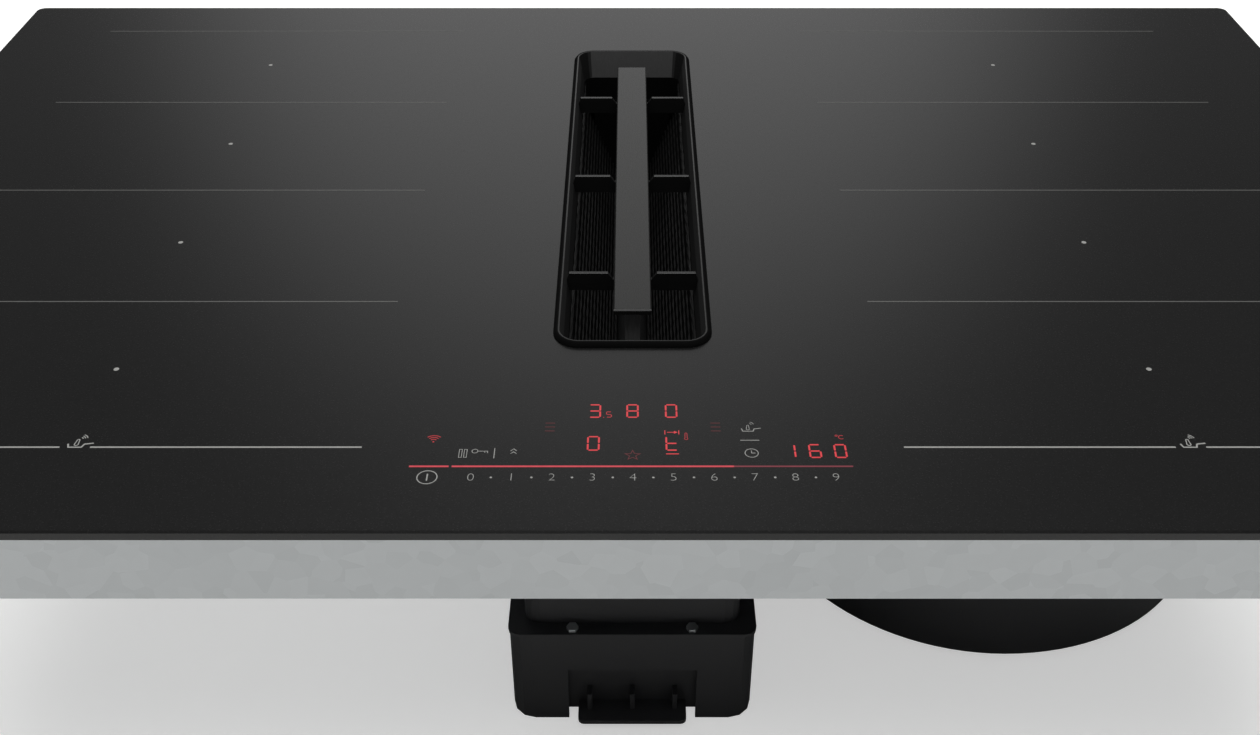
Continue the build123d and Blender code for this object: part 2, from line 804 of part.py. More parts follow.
# ---------------------------------------------------------------- blower housing
volute_centres = {
    270: (fan_x + volute_step / 2, fan_y + volute_step / 2),
    180: (fan_x + volute_step / 2, fan_y - volute_step / 2),
    90: (fan_x - volute_step / 2, fan_y - volute_step / 2),
    75: (fan_x - volute_step / 2, fan_y + volute_step / 2),
}
outlet_right_x = volute_centres[270][0] + volute_radius


def volute_outline():
    """The inside of the spiral and its outlet: quarter arcs whose radius steps up by volute_step."""
    with BuildSketch() as outline:
        with BuildLine():
            tongue = CenterArc(volute_centres[75], volute_radius - 3 * volute_step, 75, 15)
            CenterArc(volute_centres[90], volute_radius - 2 * volute_step, 90, 90)
            CenterArc(volute_centres[180], volute_radius - volute_step, 180, 90)
            last = CenterArc(volute_centres[270], volute_radius, 270, 90)
            Polyline(
                last @ 1,
                (outlet_right_x, outlet_y),
                (outlet_left_x, outlet_y),
                (outlet_left_x, outlet_y - 26),
                tongue @ 0,
            )
        make_face()
    return outline.sketch


def volute_wall(z, height, grow):
    """Adds the spiral's wall, grow mm thick and open at the outlet."""
    with BuildSketch(Plane.XY.offset(z)) as outline:
        add(volute_outline())
        offset(amount=grow, kind=Kind.INTERSECTION)
        add(volute_outline(), mode=Mode.SUBTRACT)
        with Locations(((outlet_left_x + outlet_right_x) / 2, outlet_y)):
            Rectangle(outlet_right_x - outlet_left_x, 2 * housing_wall, mode=Mode.SUBTRACT)
        with Locations(((outlet_left_x + outlet_right_x) / 2, outlet_y + housing_wall + 10)):
            Rectangle(outlet_right_x - outlet_left_x + 40, 20, mode=Mode.SUBTRACT)
    extrude(outline.sketch, amount=height)


def volute_plate(z, height, grow):
    """Adds a full plate with the spiral's outline, grown by grow mm and cut off square at the outlet."""
    with BuildSketch(Plane.XY.offset(z)) as outline:
        add(volute_outline())
        offset(amount=grow, kind=Kind.INTERSECTION)
        with Locations(((outlet_left_x + outlet_right_x) / 2, outlet_y + housing_wall + 10)):
            Rectangle(outlet_right_x - outlet_left_x + 40, 20, mode=Mode.SUBTRACT)
    extrude(outline.sketch, amount=height)


flange_reach = 7
bay_width = 125
bay_length = 365
feet = [(300, -60), (316, 196), (120, -50), (140, 200)]
with BuildPart() as lower_housing:
    volute_plate(volute_floor_z - housing_wall, housing_wall, housing_wall)
    volute_wall(volute_floor_z, volute_roof_z - volute_floor_z, housing_wall)
    volute_wall(volute_roof_z - 2.5, 2.5, flange_reach)
    # bay that the overflow tank slides up into
    ring(Plane.XY, (0, inlet_y), (bay_width, bay_length, 12), (bay_width - 5, bay_length - 5, 9.5), 57.5)
    ring(Plane.XY.offset(57.5), (0, inlet_y), (bay_width, bay_length, 12), (110, 350, 9), 2.5)
    with BuildSketch(Plane.XY):
        with Locations((0, inlet_y)):
            with GridLocations(0, bay_length - 2.5, 1, 2):
                Rectangle(66, 6)
    extrude(amount=36, mode=Mode.SUBTRACT)
    # webs that tie the bay to the spiral
    with BuildSketch(Plane.XY.offset(volute_floor_z)):
        with Locations((71, -48), (71, 8), (71, 64)):
            Rectangle(20, 2.5)
    extrude(amount=web_top_z - volute_floor_z)
    with BuildSketch(Plane.XY):
        with Locations(*feet):
            RegularPolygon(9, 8)
    extrude(amount=volute_floor_z - housing_wall)
save(lower_housing, "lower_housing")

# lid of the spiral, with the eye that the air goes in by
eye_radius = 72
round_flats = 30
hood_floor_z = volute_roof_z + housing_wall
with BuildPart() as upper_housing:
    volute_plate(volute_roof_z, housing_wall, flange_reach)
    with BuildSketch(Plane.XY.offset(volute_roof_z)):
        with Locations((fan_x, fan_y)):
            RegularPolygon(eye_radius, round_flats)
    extrude(amount=housing_wall, mode=Mode.SUBTRACT)
save(upper_housing, "upper_housing")

# bellmouth that narrows the air smoothly into the impeller
lip_radius = 60
lip_z = 80
lip_wall = 2
bellmouth_top_z = hood_floor_z + 2


def eye_outline(z, radius):
    """A flat-sided round outline over the middle of the impeller."""
    with BuildSketch(Plane.XY.offset(z)) as outline:
        with Locations((fan_x, fan_y)):
            RegularPolygon(radius, round_flats)
    return outline.sketch


with BuildPart() as inlet_bellmouth:
    loft([eye_outline(lip_z, lip_radius + lip_wall), eye_outline(hood_floor_z, eye_radius)], ruled=True)
    extrude(eye_outline(hood_floor_z, eye_radius + 6), amount=bellmouth_top_z - hood_floor_z)
    loft(
        [eye_outline(lip_z, lip_radius), eye_outline(bellmouth_top_z, eye_radius - lip_wall)],
        ruled=True,
        mode=Mode.SUBTRACT,
    )
save(inlet_bellmouth, "inlet_bellmouth")

# hood that leads the air from the shaft over the eye of the blower
shaft_face_x = shaft_width / 2 + shaft_wall
with BuildPart() as plenum_hood:
    with BuildSketch(Plane.XY.offset(hood_floor_z)):
        with Locations(((shaft_face_x + fan_x) / 2, fan_y)):
            Rectangle(fan_x - shaft_face_x, 2 * (plenum_radius + housing_wall))
        with Locations((fan_x, fan_y)):
            Circle(plenum_radius + housing_wall)
    extrude(amount=plenum_roof_z + housing_wall - hood_floor_z)
    with BuildSketch(Plane.XY.offset(hood_floor_z)):
        with Locations(((shaft_face_x + fan_x) / 2, fan_y)):
            Rectangle(fan_x - shaft_face_x, 2 * plenum_radius)
        with Locations((fan_x, fan_y)):
            Circle(plenum_radius)
    extrude(amount=plenum_roof_z - hood_floor_z, mode=Mode.SUBTRACT)
save(plenum_hood, "plenum_hood")

# screws down through the lid's edge
def beside_spiral(angle):
    """A place on the lid's edge, beside the last quarter of the spiral."""
    centre_x, centre_y = volute_centres[270]
    reach = volute_radius + 4
    return centre_x + reach * cos(radians(angle)), centre_y + reach * sin(radians(angle))


screw_places = [
    beside_spiral(-70),
    beside_spiral(-18),
    (outlet_right_x + 4, 100),
    (outlet_right_x + 4, 190),
    (164.2, 148),
    (140.3, -107.7),
]
with BuildPart() as housing_screws:
    with BuildSketch(Plane.XY.offset(hood_floor_z)):
        with Locations(*screw_places):
            RegularPolygon(2.8, 6)
    extrude(amount=2.2)
save(housing_screws, "housing_screws")

# ---------------------------------------------------------------- blower motor and impeller
shaft_radius = 3
can_radius = 40
can_sides = 24
pole_count = 6
with BuildPart() as motor_stator:
    with BuildSketch(Plane.XY.offset(volute_floor_z)):
        with Locations((fan_x, fan_y)):
            RegularPolygon(48, can_sides)
    extrude(amount=3)
    # laminated poles with their windings
    with BuildSketch(Plane.XY.offset(volute_floor_z + 3)):
        with Locations((fan_x, fan_y)):
            RegularPolygon(8, 12)
    extrude(amount=35)
    with BuildSketch(Plane.XY.offset(24)):
        with Locations((fan_x, fan_y)):
            with PolarLocations(20, pole_count):
                Rectangle(28, 9)
            with PolarLocations(32.5, pole_count):
                Rectangle(5, 17)
    extrude(amount=20)
    with BuildSketch(Plane.XY.offset(volute_floor_z)):
        with Locations((fan_x, fan_y)):
            RegularPolygon(shaft_radius + 0.05, 16, major_radius=False)
    extrude(amount=40, mode=Mode.SUBTRACT)
save(motor_stator, "motor_stator")

with BuildPart() as motor_rotor:
    with BuildSketch(Plane.XY.offset(20)):
        with Locations((fan_x, fan_y)):
            RegularPolygon(can_radius, can_sides)
            RegularPolygon(can_radius - 2.5, can_sides, mode=Mode.SUBTRACT)
    extrude(amount=30)
    with BuildSketch(Plane.XY.offset(50)):
        with Locations((fan_x, fan_y)):
            RegularPolygon(can_radius, can_sides)
    extrude(amount=2.5)
    with BuildSketch(Plane.XY.offset(14)):
        with Locations((fan_x, fan_y)):
            RegularPolygon(shaft_radius, 16)
    extrude(amount=54)
save(motor_rotor, "motor_rotor")

blade_inner = 66
blade_top_z = 80.5
disc_z = 17
hub_roof_z = 52.5
rim_sides = blade_count
with BuildPart() as impeller:
    # back disc and the hub that fits over the motor's can
    with BuildSketch(Plane.XY.offset(disc_z)):
        with Locations((fan_x, fan_y)):
            RegularPolygon(impeller_radius, rim_sides)
            RegularPolygon(can_radius + 0.3, can_sides, mode=Mode.SUBTRACT)
    extrude(amount=2)
    with BuildSketch(Plane.XY.offset(disc_z + 2)):
        with Locations((fan_x, fan_y)):
            RegularPolygon(can_radius + 3, can_sides)
            RegularPolygon(can_radius + 0.3, can_sides, mode=Mode.SUBTRACT)
    extrude(amount=hub_roof_z - disc_z - 2)
    # dome that turns the air outwards
    with BuildSketch(Plane.XY.offset(hub_roof_z)):
        with Locations((fan_x, fan_y)):
            RegularPolygon(can_radius + 3, can_sides)
    extrude(amount=5, taper=45)
    with BuildSketch(Plane.XY.offset(hub_roof_z + 5)):
        with Locations((fan_x, fan_y)):
            RegularPolygon(can_radius - 2, can_sides)
    extrude(amount=6.5, taper=70)
    with BuildSketch(Plane.XY.offset(hub_roof_z)):
        with Locations((fan_x, fan_y)):
            RegularPolygon(shaft_radius, 16)
    extrude(amount=20, mode=Mode.SUBTRACT)
    # forward-curved blades under a shroud ring
    with BuildSketch(Plane.XY.offset(disc_z + 2)):
        with Locations((fan_x, fan_y)):
            with PolarLocations(0, blade_count):
                Polygon(
                    (blade_inner, 0),
                    (76.5, 3.4),
                    (83, 12.2),
                    (81.6, 12.9),
                    (75, 5),
                    (blade_inner, 1.6),
                    align=None,
                )
    extrude(amount=blade_top_z - disc_z - 2)
    with BuildSketch(Plane.XY.offset(blade_top_z)):
        with Locations((fan_x, fan_y)):
            RegularPolygon(impeller_radius, rim_sides)
            RegularPolygon(impeller_radius - 8, rim_sides, mode=Mode.SUBTRACT)
    extrude(amount=2)
save(impeller, "impeller")

with BuildPart() as impeller_nut:
    with BuildSketch(Plane.XY.offset(64)):
        with Locations((fan_x, fan_y)):
            RegularPolygon(6, 6)
            RegularPolygon(shaft_radius, 16, mode=Mode.SUBTRACT)
    extrude(amount=3.2)
save(impeller_nut, "impeller_nut")

# flat duct spigot on the outlet
spigot_width = 222
spigot_height = 89
spigot_centre = (outlet_right_x + outlet_left_x) / 2
outlet_mid_z = (volute_floor_z + volute_roof_z) / 2
with BuildPart() as duct_spigot:
    with BuildSketch(Plane.XZ.offset(-(outlet_y + housing_wall + 22))):
        with Locations((spigot_centre, outlet_mid_z)):
            Polygon(*soft_rectangle(spigot_width, spigot_height, 6))
            Polygon(*soft_rectangle(spigot_width - 5, spigot_height - 5, 3.5), mode=Mode.SUBTRACT)
    extrude(amount=22)
    with BuildSketch(Plane.XZ.offset(-(outlet_y + housing_wall + 3))):
        with Locations((spigot_centre, outlet_mid_z)):
            Polygon(*soft_rectangle(spigot_width + 10, spigot_height + 8, 6))
            Polygon(*soft_rectangle(spigot_width - 5, spigot_height - 5, 3.5), mode=Mode.SUBTRACT)
    extrude(amount=3)
save(duct_spigot, "duct_spigot")

# ---------------------------------------------------------------- overflow tank
with BuildPart() as overflow_tank:
    with BuildSketch(Plane.XY.offset(tank_bottom_z)):
        with Locations((0, inlet_y)):
            Polygon(*soft_rectangle(tank_width, tank_length, 10))
    extrude(amount=tank_top_z - tank_bottom_z)
    offset(amount=-tank_wall, openings=overflow_tank.faces().sort_by(Axis.Z)[-1])
    # grips at the two ends
    for end in (-1, 1):
        with BuildSketch(Plane.XY.offset(6)):
            with Locations((0, inlet_y + end * (tank_length / 2 + 6))):
                Polygon(*soft_rectangle(56, 16, 3))
        extrude(amount=2.6)
        with BuildSketch(Plane.XY.offset(8)):
            with Locations((0, inlet_y + end * (tank_length / 2 + 3))):
                with GridLocations(22, 0, 3, 1):
                    Rectangle(2.4, 7)
        extrude(amount=12)
save(overflow_tank, "overflow_tank")

with BuildPart() as tank_seal:
    ring(Plane.XY.offset(shaft_bottom_z), (0, inlet_y), (111, 351, 9), (109, 349, 8), 5)
save(tank_seal, "tank_seal")
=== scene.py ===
# %% [markdown]
# # A downdraft induction cooktop
# The hob is a sheet of black glass ceramic with two long cooking zones, a touch panel along its front edge,
# and an air inlet in its middle that pulls the cooking fumes down. The solid parts come packed from the CAD
# model, in metres and already in place. This lesson dresses them: it gives every part its real material,
# prints the glass, lights the display, winds the filter mesh and lights the whole thing like a studio
# picture.

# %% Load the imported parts
import math
import bmesh
import bpy
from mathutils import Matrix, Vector


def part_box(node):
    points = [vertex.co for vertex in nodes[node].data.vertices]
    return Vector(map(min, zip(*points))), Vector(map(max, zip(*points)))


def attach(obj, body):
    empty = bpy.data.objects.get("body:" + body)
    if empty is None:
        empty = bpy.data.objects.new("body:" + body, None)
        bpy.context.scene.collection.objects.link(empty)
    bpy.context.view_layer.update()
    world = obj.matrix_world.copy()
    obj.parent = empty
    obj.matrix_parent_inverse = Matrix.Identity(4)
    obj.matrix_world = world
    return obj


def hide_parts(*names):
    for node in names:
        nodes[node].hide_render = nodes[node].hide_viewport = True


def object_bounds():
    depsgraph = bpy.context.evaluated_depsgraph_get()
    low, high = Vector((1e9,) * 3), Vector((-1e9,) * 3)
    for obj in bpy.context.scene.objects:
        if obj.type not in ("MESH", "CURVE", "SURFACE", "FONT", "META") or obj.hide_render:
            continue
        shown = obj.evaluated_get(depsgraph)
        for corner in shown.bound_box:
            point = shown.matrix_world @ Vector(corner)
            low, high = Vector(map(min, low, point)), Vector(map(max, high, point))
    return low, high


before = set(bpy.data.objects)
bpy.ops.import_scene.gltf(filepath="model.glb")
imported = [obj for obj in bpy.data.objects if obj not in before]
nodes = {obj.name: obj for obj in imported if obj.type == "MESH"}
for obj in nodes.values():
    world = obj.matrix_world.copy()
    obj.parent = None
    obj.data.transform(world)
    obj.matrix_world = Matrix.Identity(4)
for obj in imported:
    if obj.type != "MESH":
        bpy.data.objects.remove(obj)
cad_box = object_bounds()
print(f"{len(nodes)} parts, box {[round(v, 4) for corner in cad_box for v in corner]}")

# %% [markdown]
# ## The camera
# The photograph looks down on the hob from the cook's side. A level line in the picture stays level, and
# the cooking zones shrink towards the back at a rate that only one height and tilt can give. The camera is
# worked out from that: 357 mm above the glass, 390 mm in front of it, looking down by 36 degrees. The hob's
# middle lies a millimetre right of the picture's, so the camera stands that far to the left.

# %% Place the camera
camera_left, camera_back, camera_height, camera_turn = 0.00115, 0.65131, 0.58003, 54.237
camera_lens = bpy.data.cameras.new("camera")
camera_lens.lens = 40.086
camera_lens.sensor_width = 36
camera = bpy.data.objects.new("camera", camera_lens)
camera.location = (-camera_left, -camera_back, camera_height)
camera.rotation_euler = (math.radians(camera_turn), 0, 0)
bpy.context.scene.collection.objects.link(camera)
bpy.context.scene.camera = camera
bpy.context.scene.view_settings.view_transform = "Standard"
print("camera", [round(v, 3) for v in camera.location])

# %% [markdown]
# ## Helpers for materials
# A material is a small graph of nodes. One helper adds a node, sets its properties and fills its inputs,
# either with a plain value or with the output of another node. Colours are picked as the hex codes that a
# paint shop or a web page would use, so a second helper turns them to the linear light that the renderer
# works in. No real surface is the same all over, so one helper makes a plain material and another lets its
# colour, roughness and height vary a little by a noise.


# %% Material helpers
def linear(code):
    """A hex colour such as "#c0c0c0" as linear red, green, blue and alpha."""
    parts = [int(code[i:i + 2], 16) / 255 for i in (1, 3, 5)]
    return [c / 12.92 if c <= 0.04045 else ((c + 0.055) / 1.055) ** 2.4 for c in parts] + [1.0]


def add_node(tree, kind, inputs=None, **settings):
    """Adds a node, sets its properties and fills its inputs with values or with other nodes' outputs."""
    made = tree.nodes.new(kind)
    for name, value in settings.items():
        setattr(made, name, value)
    for name, value in (inputs or {}).items():
        if isinstance(value, bpy.types.NodeSocket):
            tree.links.new(value, made.inputs[name])
        else:
            made.inputs[name].default_value = value
    return made


def new_material(name, colour, roughness, **inputs):
    """A material with one Principled shader, and the shader and the tree to add detail to."""
    material = bpy.data.materials.new(name)
    material.use_nodes = True
    tree = material.node_tree
    shader = tree.nodes["Principled BSDF"]
    shader.inputs["Base Color"].default_value = linear(colour)
    shader.inputs["Roughness"].default_value = roughness
    for label, value in inputs.items():
        shader.inputs[label.replace("_", " ")].default_value = value
    return material, tree, shader


def between(tree, factor, low, high):
    """A colour between two hex colours, as far along as the factor says."""
    mixed = add_node(tree, "ShaderNodeMixRGB", {"Fac": factor, "Color1": linear(low), "Color2": linear(high)})
    return mixed.outputs["Color"]


def grained(name, colour, gloss, grain, low, high, roughness, bump=0.0, stretch=(1, 1, 1), **inputs):
    """A material that varies by a noise. Its grain and its bump are real sizes in millimetres."""
    material, tree, shader = new_material(name, colour, gloss, **inputs)
    place = add_node(tree, "ShaderNodeTexCoord")
    grid = add_node(tree, "ShaderNodeMapping", {"Vector": place.outputs["Object"], "Scale": stretch})
    noise = add_node(
        tree, "ShaderNodeTexNoise", {"Vector": grid.outputs["Vector"], "Scale": 1000 / grain, "Detail": 3.0},
    ).outputs["Fac"]
    # nearly all of the noise lies between these two values
    noise_low, noise_high = 0.3, 0.7
    colours = add_node(tree, "ShaderNodeValToRGB", {"Fac": noise})
    for stop, position, code in zip(colours.color_ramp.elements, (noise_low, noise_high), (low, high)):
        stop.position = position
        stop.color = linear(code)
    tree.links.new(colours.outputs["Color"], shader.inputs["Base Color"])
    shine = add_node(
        tree, "ShaderNodeMapRange",
        {
            "Value": noise, "From Min": noise_low, "From Max": noise_high,
            "To Min": roughness[0], "To Max": roughness[1],
        },
    )
    tree.links.new(shine.outputs["Result"], shader.inputs["Roughness"])
    if bump:
        height = add_node(tree, "ShaderNodeBump", {"Height": noise, "Strength": 0.6, "Distance": bump / 1000})
        tree.links.new(height.outputs["Normal"], shader.inputs["Normal"])
    return material


def wear(material, *names):
    """Gives CAD parts their material."""
    for name in names:
        slots = nodes[name].material_slots
        if slots:
            for place in slots:
                place.material = material
        else:
            nodes[name].data.materials.append(material)
    print(material.name, "on", ", ".join(names))


# %% [markdown]
# ## Black glass ceramic
# The plate is a lithium-alumino-silicate glass ceramic, rolled flat and tinted black right through. Seen
# from above it is nearly black, and seen at a low angle its smooth skin mirrors the room, which makes the
# soft grey sheen of the photograph. A very fine printed dot screen under the skin breaks that mirror image
# up, so the gloss is soft. The grain is drawn coarser than the real 0.1 mm screen so that it doesn't
# shimmer.

# %% Glass ceramic
glass_ceramic = grained(
    "black_glass_ceramic", "#0c0c0c", 0.25, IOR=1.52,
    grain=0.8, low="#0a0a0a", high="#101010", roughness=(0.23, 0.28),
)
wear(glass_ceramic, "glass_top")

# %% [markdown]
# ## Anodised aluminium
# The rim, the ribs and the handle bar of the inlet are drawn aluminium that is brushed, dyed and sealed.
# The dye makes it dark, the brushing stretches its gloss along the part, and the sealed oxide layer keeps a
# fine silk sheen. The walls of the mouth are dyed dark grey and the ribs black. The end walls are painted a
# lighter grey, which is painted light: the light that falls on the walls that face the cook.
# The bar, the ribs' tops and the rim's top are dyed nearly black too, but they are glossy and face
# the light overhead, so they look pale. The bevel at the bar's front end is painted a pale grey, a painted
# highlight. The brushing lines are up to 0.6 mm wide here, coarser than the real ones so that they show.

# %% Anodised aluminium
dark_anodised = grained(
    "dark_grey_anodised_aluminium", "#2c2c2c", 0.5, IOR=1.5,
    grain=0.6, low="#262626", high="#323232", roughness=(0.46, 0.56), bump=0.01, stretch=(1, 0.05, 1),
)
wear(dark_anodised, "inlet_frame")

# black for the ribs, and the same black as painted shade on the mouth's turned corners and the long walls'
# lower half
black_anodised_and_painted_shade = grained(
    "black_anodised_aluminium_and_painted_shade", "#131313", 0.6, Specular_IOR_Level=0.35,
    grain=0.6, low="#101010", high="#161616", roughness=(0.55, 0.65), stretch=(0.05, 1, 1),
)

# painted light: a lighter grey for the flat end walls, for the light that falls on them
end_walls_painted_light = grained(
    "grey_anodised_aluminium", "#565656", 0.5, IOR=1.5,
    grain=0.6, low="#525252", high="#5a5a5a", roughness=(0.46, 0.56), stretch=(1, 1, 0.05),
)

# a seal takes up all the light that falls on it, so the gasket is black; the same black on the lip over the
# rim's outside is painted shade, and both draw a black line round the rim
black_rubber_and_painted_shade = grained(
    "black_silicone_rubber_and_painted_shade", "#060606", 0.8, IOR=1.4, Specular_IOR_Level=0.1,
    grain=0.8, low="#040404", high="#080808", roughness=(0.75, 0.9), bump=0.01,
)
wear(black_rubber_and_painted_shade, "rim_gasket")

bar_anodised = grained(
    "brushed_grey_anodised_aluminium", "#171716", 0.28, IOR=1.47,
    grain=0.6, low="#141413", high="#191918", roughness=(0.25, 0.3), bump=0.01, stretch=(1, 0.04, 1),
)
wear(bar_anodised, "handle_bar")

# painted highlight: a pale grey on the bevel at the bar's front end
bar_edge_highlight = grained(
    "pale_grey_painted_highlight", "#6a6a6a", 0.45, IOR=1.5,
    grain=0.4, low="#646464", high="#707070", roughness=(0.4, 0.5), stretch=(1, 0.1, 1),
)

post_anodised = grained(
    "turned_anodised_aluminium", "#6c6c6c", 0.5, IOR=1.5,
    grain=0.5, low="#646464", high="#747474", roughness=(0.45, 0.55), stretch=(1, 1, 0.08),
)
wear(post_anodised, "handle_posts")

# %% [markdown]
# ## Moulded plastics
# The shaft, the blower housings and the tank are injection-moulded polypropylene and ABS. Their moulds are
# spark eroded, which leaves a matt grain that hides scratches. The impeller is grey glass-filled nylon, a
# little glossier. The small cooling fans are black nylon, and the coils sit on formers of ivory polyamide.

# %% Moulded plastics
black_moulding = grained(
    "moulded_black_polypropylene", "#262628", 0.55, IOR=1.49,
    grain=1.4, low="#212123", high="#2b2b2d", roughness=(0.5, 0.62), bump=0.05,
)
wear(
    black_moulding, "inlet_collar", "air_shaft", "lower_housing", "upper_housing", "plenum_hood",
    "inlet_bellmouth", "duct_spigot", "overflow_tank", "terminal_box", "terminal_cover", "cable_gland",
)

grey_moulding = grained(
    "moulded_grey_nylon", "#9b9da0", 0.42, IOR=1.53,
    grain=2.0, low="#94969a", high="#a2a4a7", roughness=(0.38, 0.48), bump=0.02,
)
wear(grey_moulding, "impeller")

fan_moulding = grained(
    "moulded_black_nylon", "#2d2d2f", 0.45, IOR=1.53,
    grain=1.2, low="#28282a", high="#333335", roughness=(0.4, 0.5), bump=0.03,
)
wear(
    fan_moulding, "left_cooling_fan_housing", "right_cooling_fan_housing", "left_cooling_fan_rotor",
    "right_cooling_fan_rotor",
)

ivory_moulding = grained(
    "moulded_ivory_polyamide", "#ddd9cf", 0.5, IOR=1.53,
    grain=1.5, low="#d6d2c7", high="#e4e0d7", roughness=(0.45, 0.55), bump=0.02,
)
wear(ivory_moulding, "left_coil_formers", "right_coil_formers", "display_light_box", "terminal_block")

# %% [markdown]
# ## Sheet steel and other metals
# The casing is zinc-coated steel sheet. Hot-dip zinc freezes into flat crystals, called spangle, which meet
# in straight edges a few millimetres apart: a Voronoi pattern is the same rule, so it makes the spangle
# here. The heat sinks and coil plates are mill-finish aluminium, rolled in long fine lines. The motor is
# stamped steel, the sensors and the boards' stand-offs are turned brass, and the tray of the filter is
# steel painted matt black.

# %% Metals
zinc_steel, tree, shader = new_material("hot_dip_zinc_steel", "#c6c9cb", 0.42, Metallic=1.0)
place = add_node(tree, "ShaderNodeTexCoord")
crystal_size = 9
crystals = add_node(
    tree, "ShaderNodeTexVoronoi", {"Vector": place.outputs["Object"], "Scale": 1000 / crystal_size},
)
spangle = between(tree, crystals.outputs["Color"], "#bcbfc1", "#ced1d3")
gloss = add_node(
    tree, "ShaderNodeMapRange", {"Value": crystals.outputs["Color"], "To Min": 0.34, "To Max": 0.5},
)
tree.links.new(spangle, shader.inputs["Base Color"])
tree.links.new(gloss.outputs["Result"], shader.inputs["Roughness"])
wear(
    zinc_steel, "casing", "shaft_frame", "worktop_clamps", "clamp_screws", "housing_screws", "shaft_screws",
    "post_screws", "impeller_nut", "carrier_springs",
)

mill_aluminium = grained(
    "mill_finish_aluminium", "#d9dbdc", 0.38, Metallic=1.0,
    grain=1.2, low="#cfd1d2", high="#e0e2e3", roughness=(0.32, 0.44), stretch=(1, 0.03, 1),
)
wear(mill_aluminium, "left_coil_carrier", "right_coil_carrier", "left_heat_sink", "right_heat_sink")

motor_steel = grained(
    "stamped_electrical_steel", "#a3a4a6", 0.4, Metallic=1.0,
    grain=1.0, low="#98999b", high="#adaeb0", roughness=(0.35, 0.48), stretch=(1, 1, 4),
)
wear(motor_steel, "motor_rotor", "motor_stator")

brass = grained(
    "turned_brass", "#d2ac5a", 0.35, Metallic=1.0,
    grain=0.5, low="#c9a350", high="#dbb564", roughness=(0.3, 0.42), stretch=(1, 1, 6),
)
wear(brass, "coil_sensors", "board_standoffs")

black_steel = grained(
    "black_painted_steel", "#060606", 0.6, Specular_IOR_Level=0.25,
    grain=0.8, low="#040404", high="#080808", roughness=(0.55, 0.68), bump=0.02,
)
wear(black_steel, "filter_tray")

# %% [markdown]
# ## Coils, boards and seals
# Each coil is litz wire, hundreds of hair-thin enamelled copper strands wound flat round an oval eye, so
# its turns show as lines 2.4 mm apart along its long sides. A wave pattern has one band for each 2 pi / 20
# units of its scale, which gives the scale below. The mica sheet over it is pressed from pearly flakes, and
# the boards are green solder mask over glass fibre.

# %% Coils, boards and seals
copper, tree, shader = new_material("enamelled_copper_litz", "#b4683a", 0.36, Metallic=1.0)
place = add_node(tree, "ShaderNodeTexCoord")
turn_width = 0.0024
strands = add_node(
    tree, "ShaderNodeTexWave",
    {
        "Vector": place.outputs["Object"], "Scale": 2 * math.pi / 20 / turn_width, "Distortion": 1.5,
        "Detail": 2.0,
    },
    wave_type="BANDS", bands_direction="Y",
)
turns = between(tree, strands.outputs["Fac"], "#8f4f2a", "#c77a48")
tree.links.new(turns, shader.inputs["Base Color"])
twist = add_node(
    tree, "ShaderNodeBump", {"Height": strands.outputs["Fac"], "Strength": 0.5, "Distance": 0.0004},
)
tree.links.new(twist.outputs["Normal"], shader.inputs["Normal"])
wear(copper, "left_coil_windings", "right_coil_windings")

ferrite = grained(
    "sintered_ferrite", "#4b4b4e", 0.6, IOR=2.2,
    grain=0.7, low="#434346", high="#545457", roughness=(0.52, 0.68), bump=0.03,
)
wear(ferrite, "ferrite_bars")

mica = grained(
    "pressed_mica", "#d8cbb0", 0.4, IOR=1.58,
    grain=4.0, low="#cdbfa2", high="#e3d8c0", roughness=(0.3, 0.5),
)
wear(mica, "mica_sheets")

solder_mask = grained(
    "green_solder_mask", "#1f5a3c", 0.35, IOR=1.5,
    grain=2.2, low="#1b5136", high="#256545", roughness=(0.3, 0.42), bump=0.02,
)
wear(solder_mask, "left_power_board", "right_power_board", "touch_board")

epoxy = grained(
    "moulded_epoxy_housings", "#37373a", 0.4, IOR=1.55,
    grain=1.5, low="#303033", high="#404043", roughness=(0.35, 0.5), bump=0.02,
)
wear(epoxy, "left_board_components", "right_board_components")

foam = grained(
    "closed_cell_foam_rubber", "#2f2f2f", 0.85, IOR=1.45,
    grain=0.9, low="#272727", high="#383838", roughness=(0.8, 0.92), bump=0.12,
)
wear(foam, "worktop_seal", "shaft_gasket", "tank_seal", "touch_pads")

# %% [markdown]
# ## Drawing on the glass
# The marks on a hob are screen-printed ceramic ink that is fired into the glass, a few hundredths of a
# millimetre thick. They could be painted by the glass's own material, but then they would be as soft as its
# noise. Thin closed bands of mesh stay sharp from any distance, and they can be counted and measured.
# Places on the glass are in millimetres: x from the hob's middle, and d from its front edge.

# %% Lines and areas of ink
(_, glass_front, _), (_, _, glass_height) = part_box("glass_top")
ink_low = glass_height - 0.00002
ink_high = glass_height + 0.00005


def on_glass(x, d):
    """A place on the glass in metres, from its millimetres."""
    return x / 1000, glass_front + d / 1000


def add_line(mesh, points, width, closed=False):
    """A line of even width through the points, mitred where it bends."""
    points = [Vector(point) for point in points]
    rows = []
    for i, here in enumerate(points):
        ways = []
        if closed or i > 0:
            ways.append(here - points[i - 1])
        if closed or i < len(points) - 1:
            ways.append(points[(i + 1) % len(points)] - here)
        sides = [Vector((-way.y, way.x)).normalized() for way in ways]
        side = sum(sides, Vector((0, 0)))
        side *= width / 2 / side.dot(sides[0])
        left, right = here + side, here - side
        corners = ((left, ink_high), (right, ink_high), (right, ink_low), (left, ink_low))
        rows.append([mesh.verts.new((*on_glass(p.x, p.y), z)) for p, z in corners])
    pairs = list(zip(rows, rows[1:]))
    if closed:
        pairs.append((rows[-1], rows[0]))
    else:
        mesh.faces.new(rows[0])
        mesh.faces.new(reversed(rows[-1]))
    for a, b in pairs:
        for k in range(4):
            mesh.faces.new((a[k], b[k], b[k - 3], a[k - 3]))


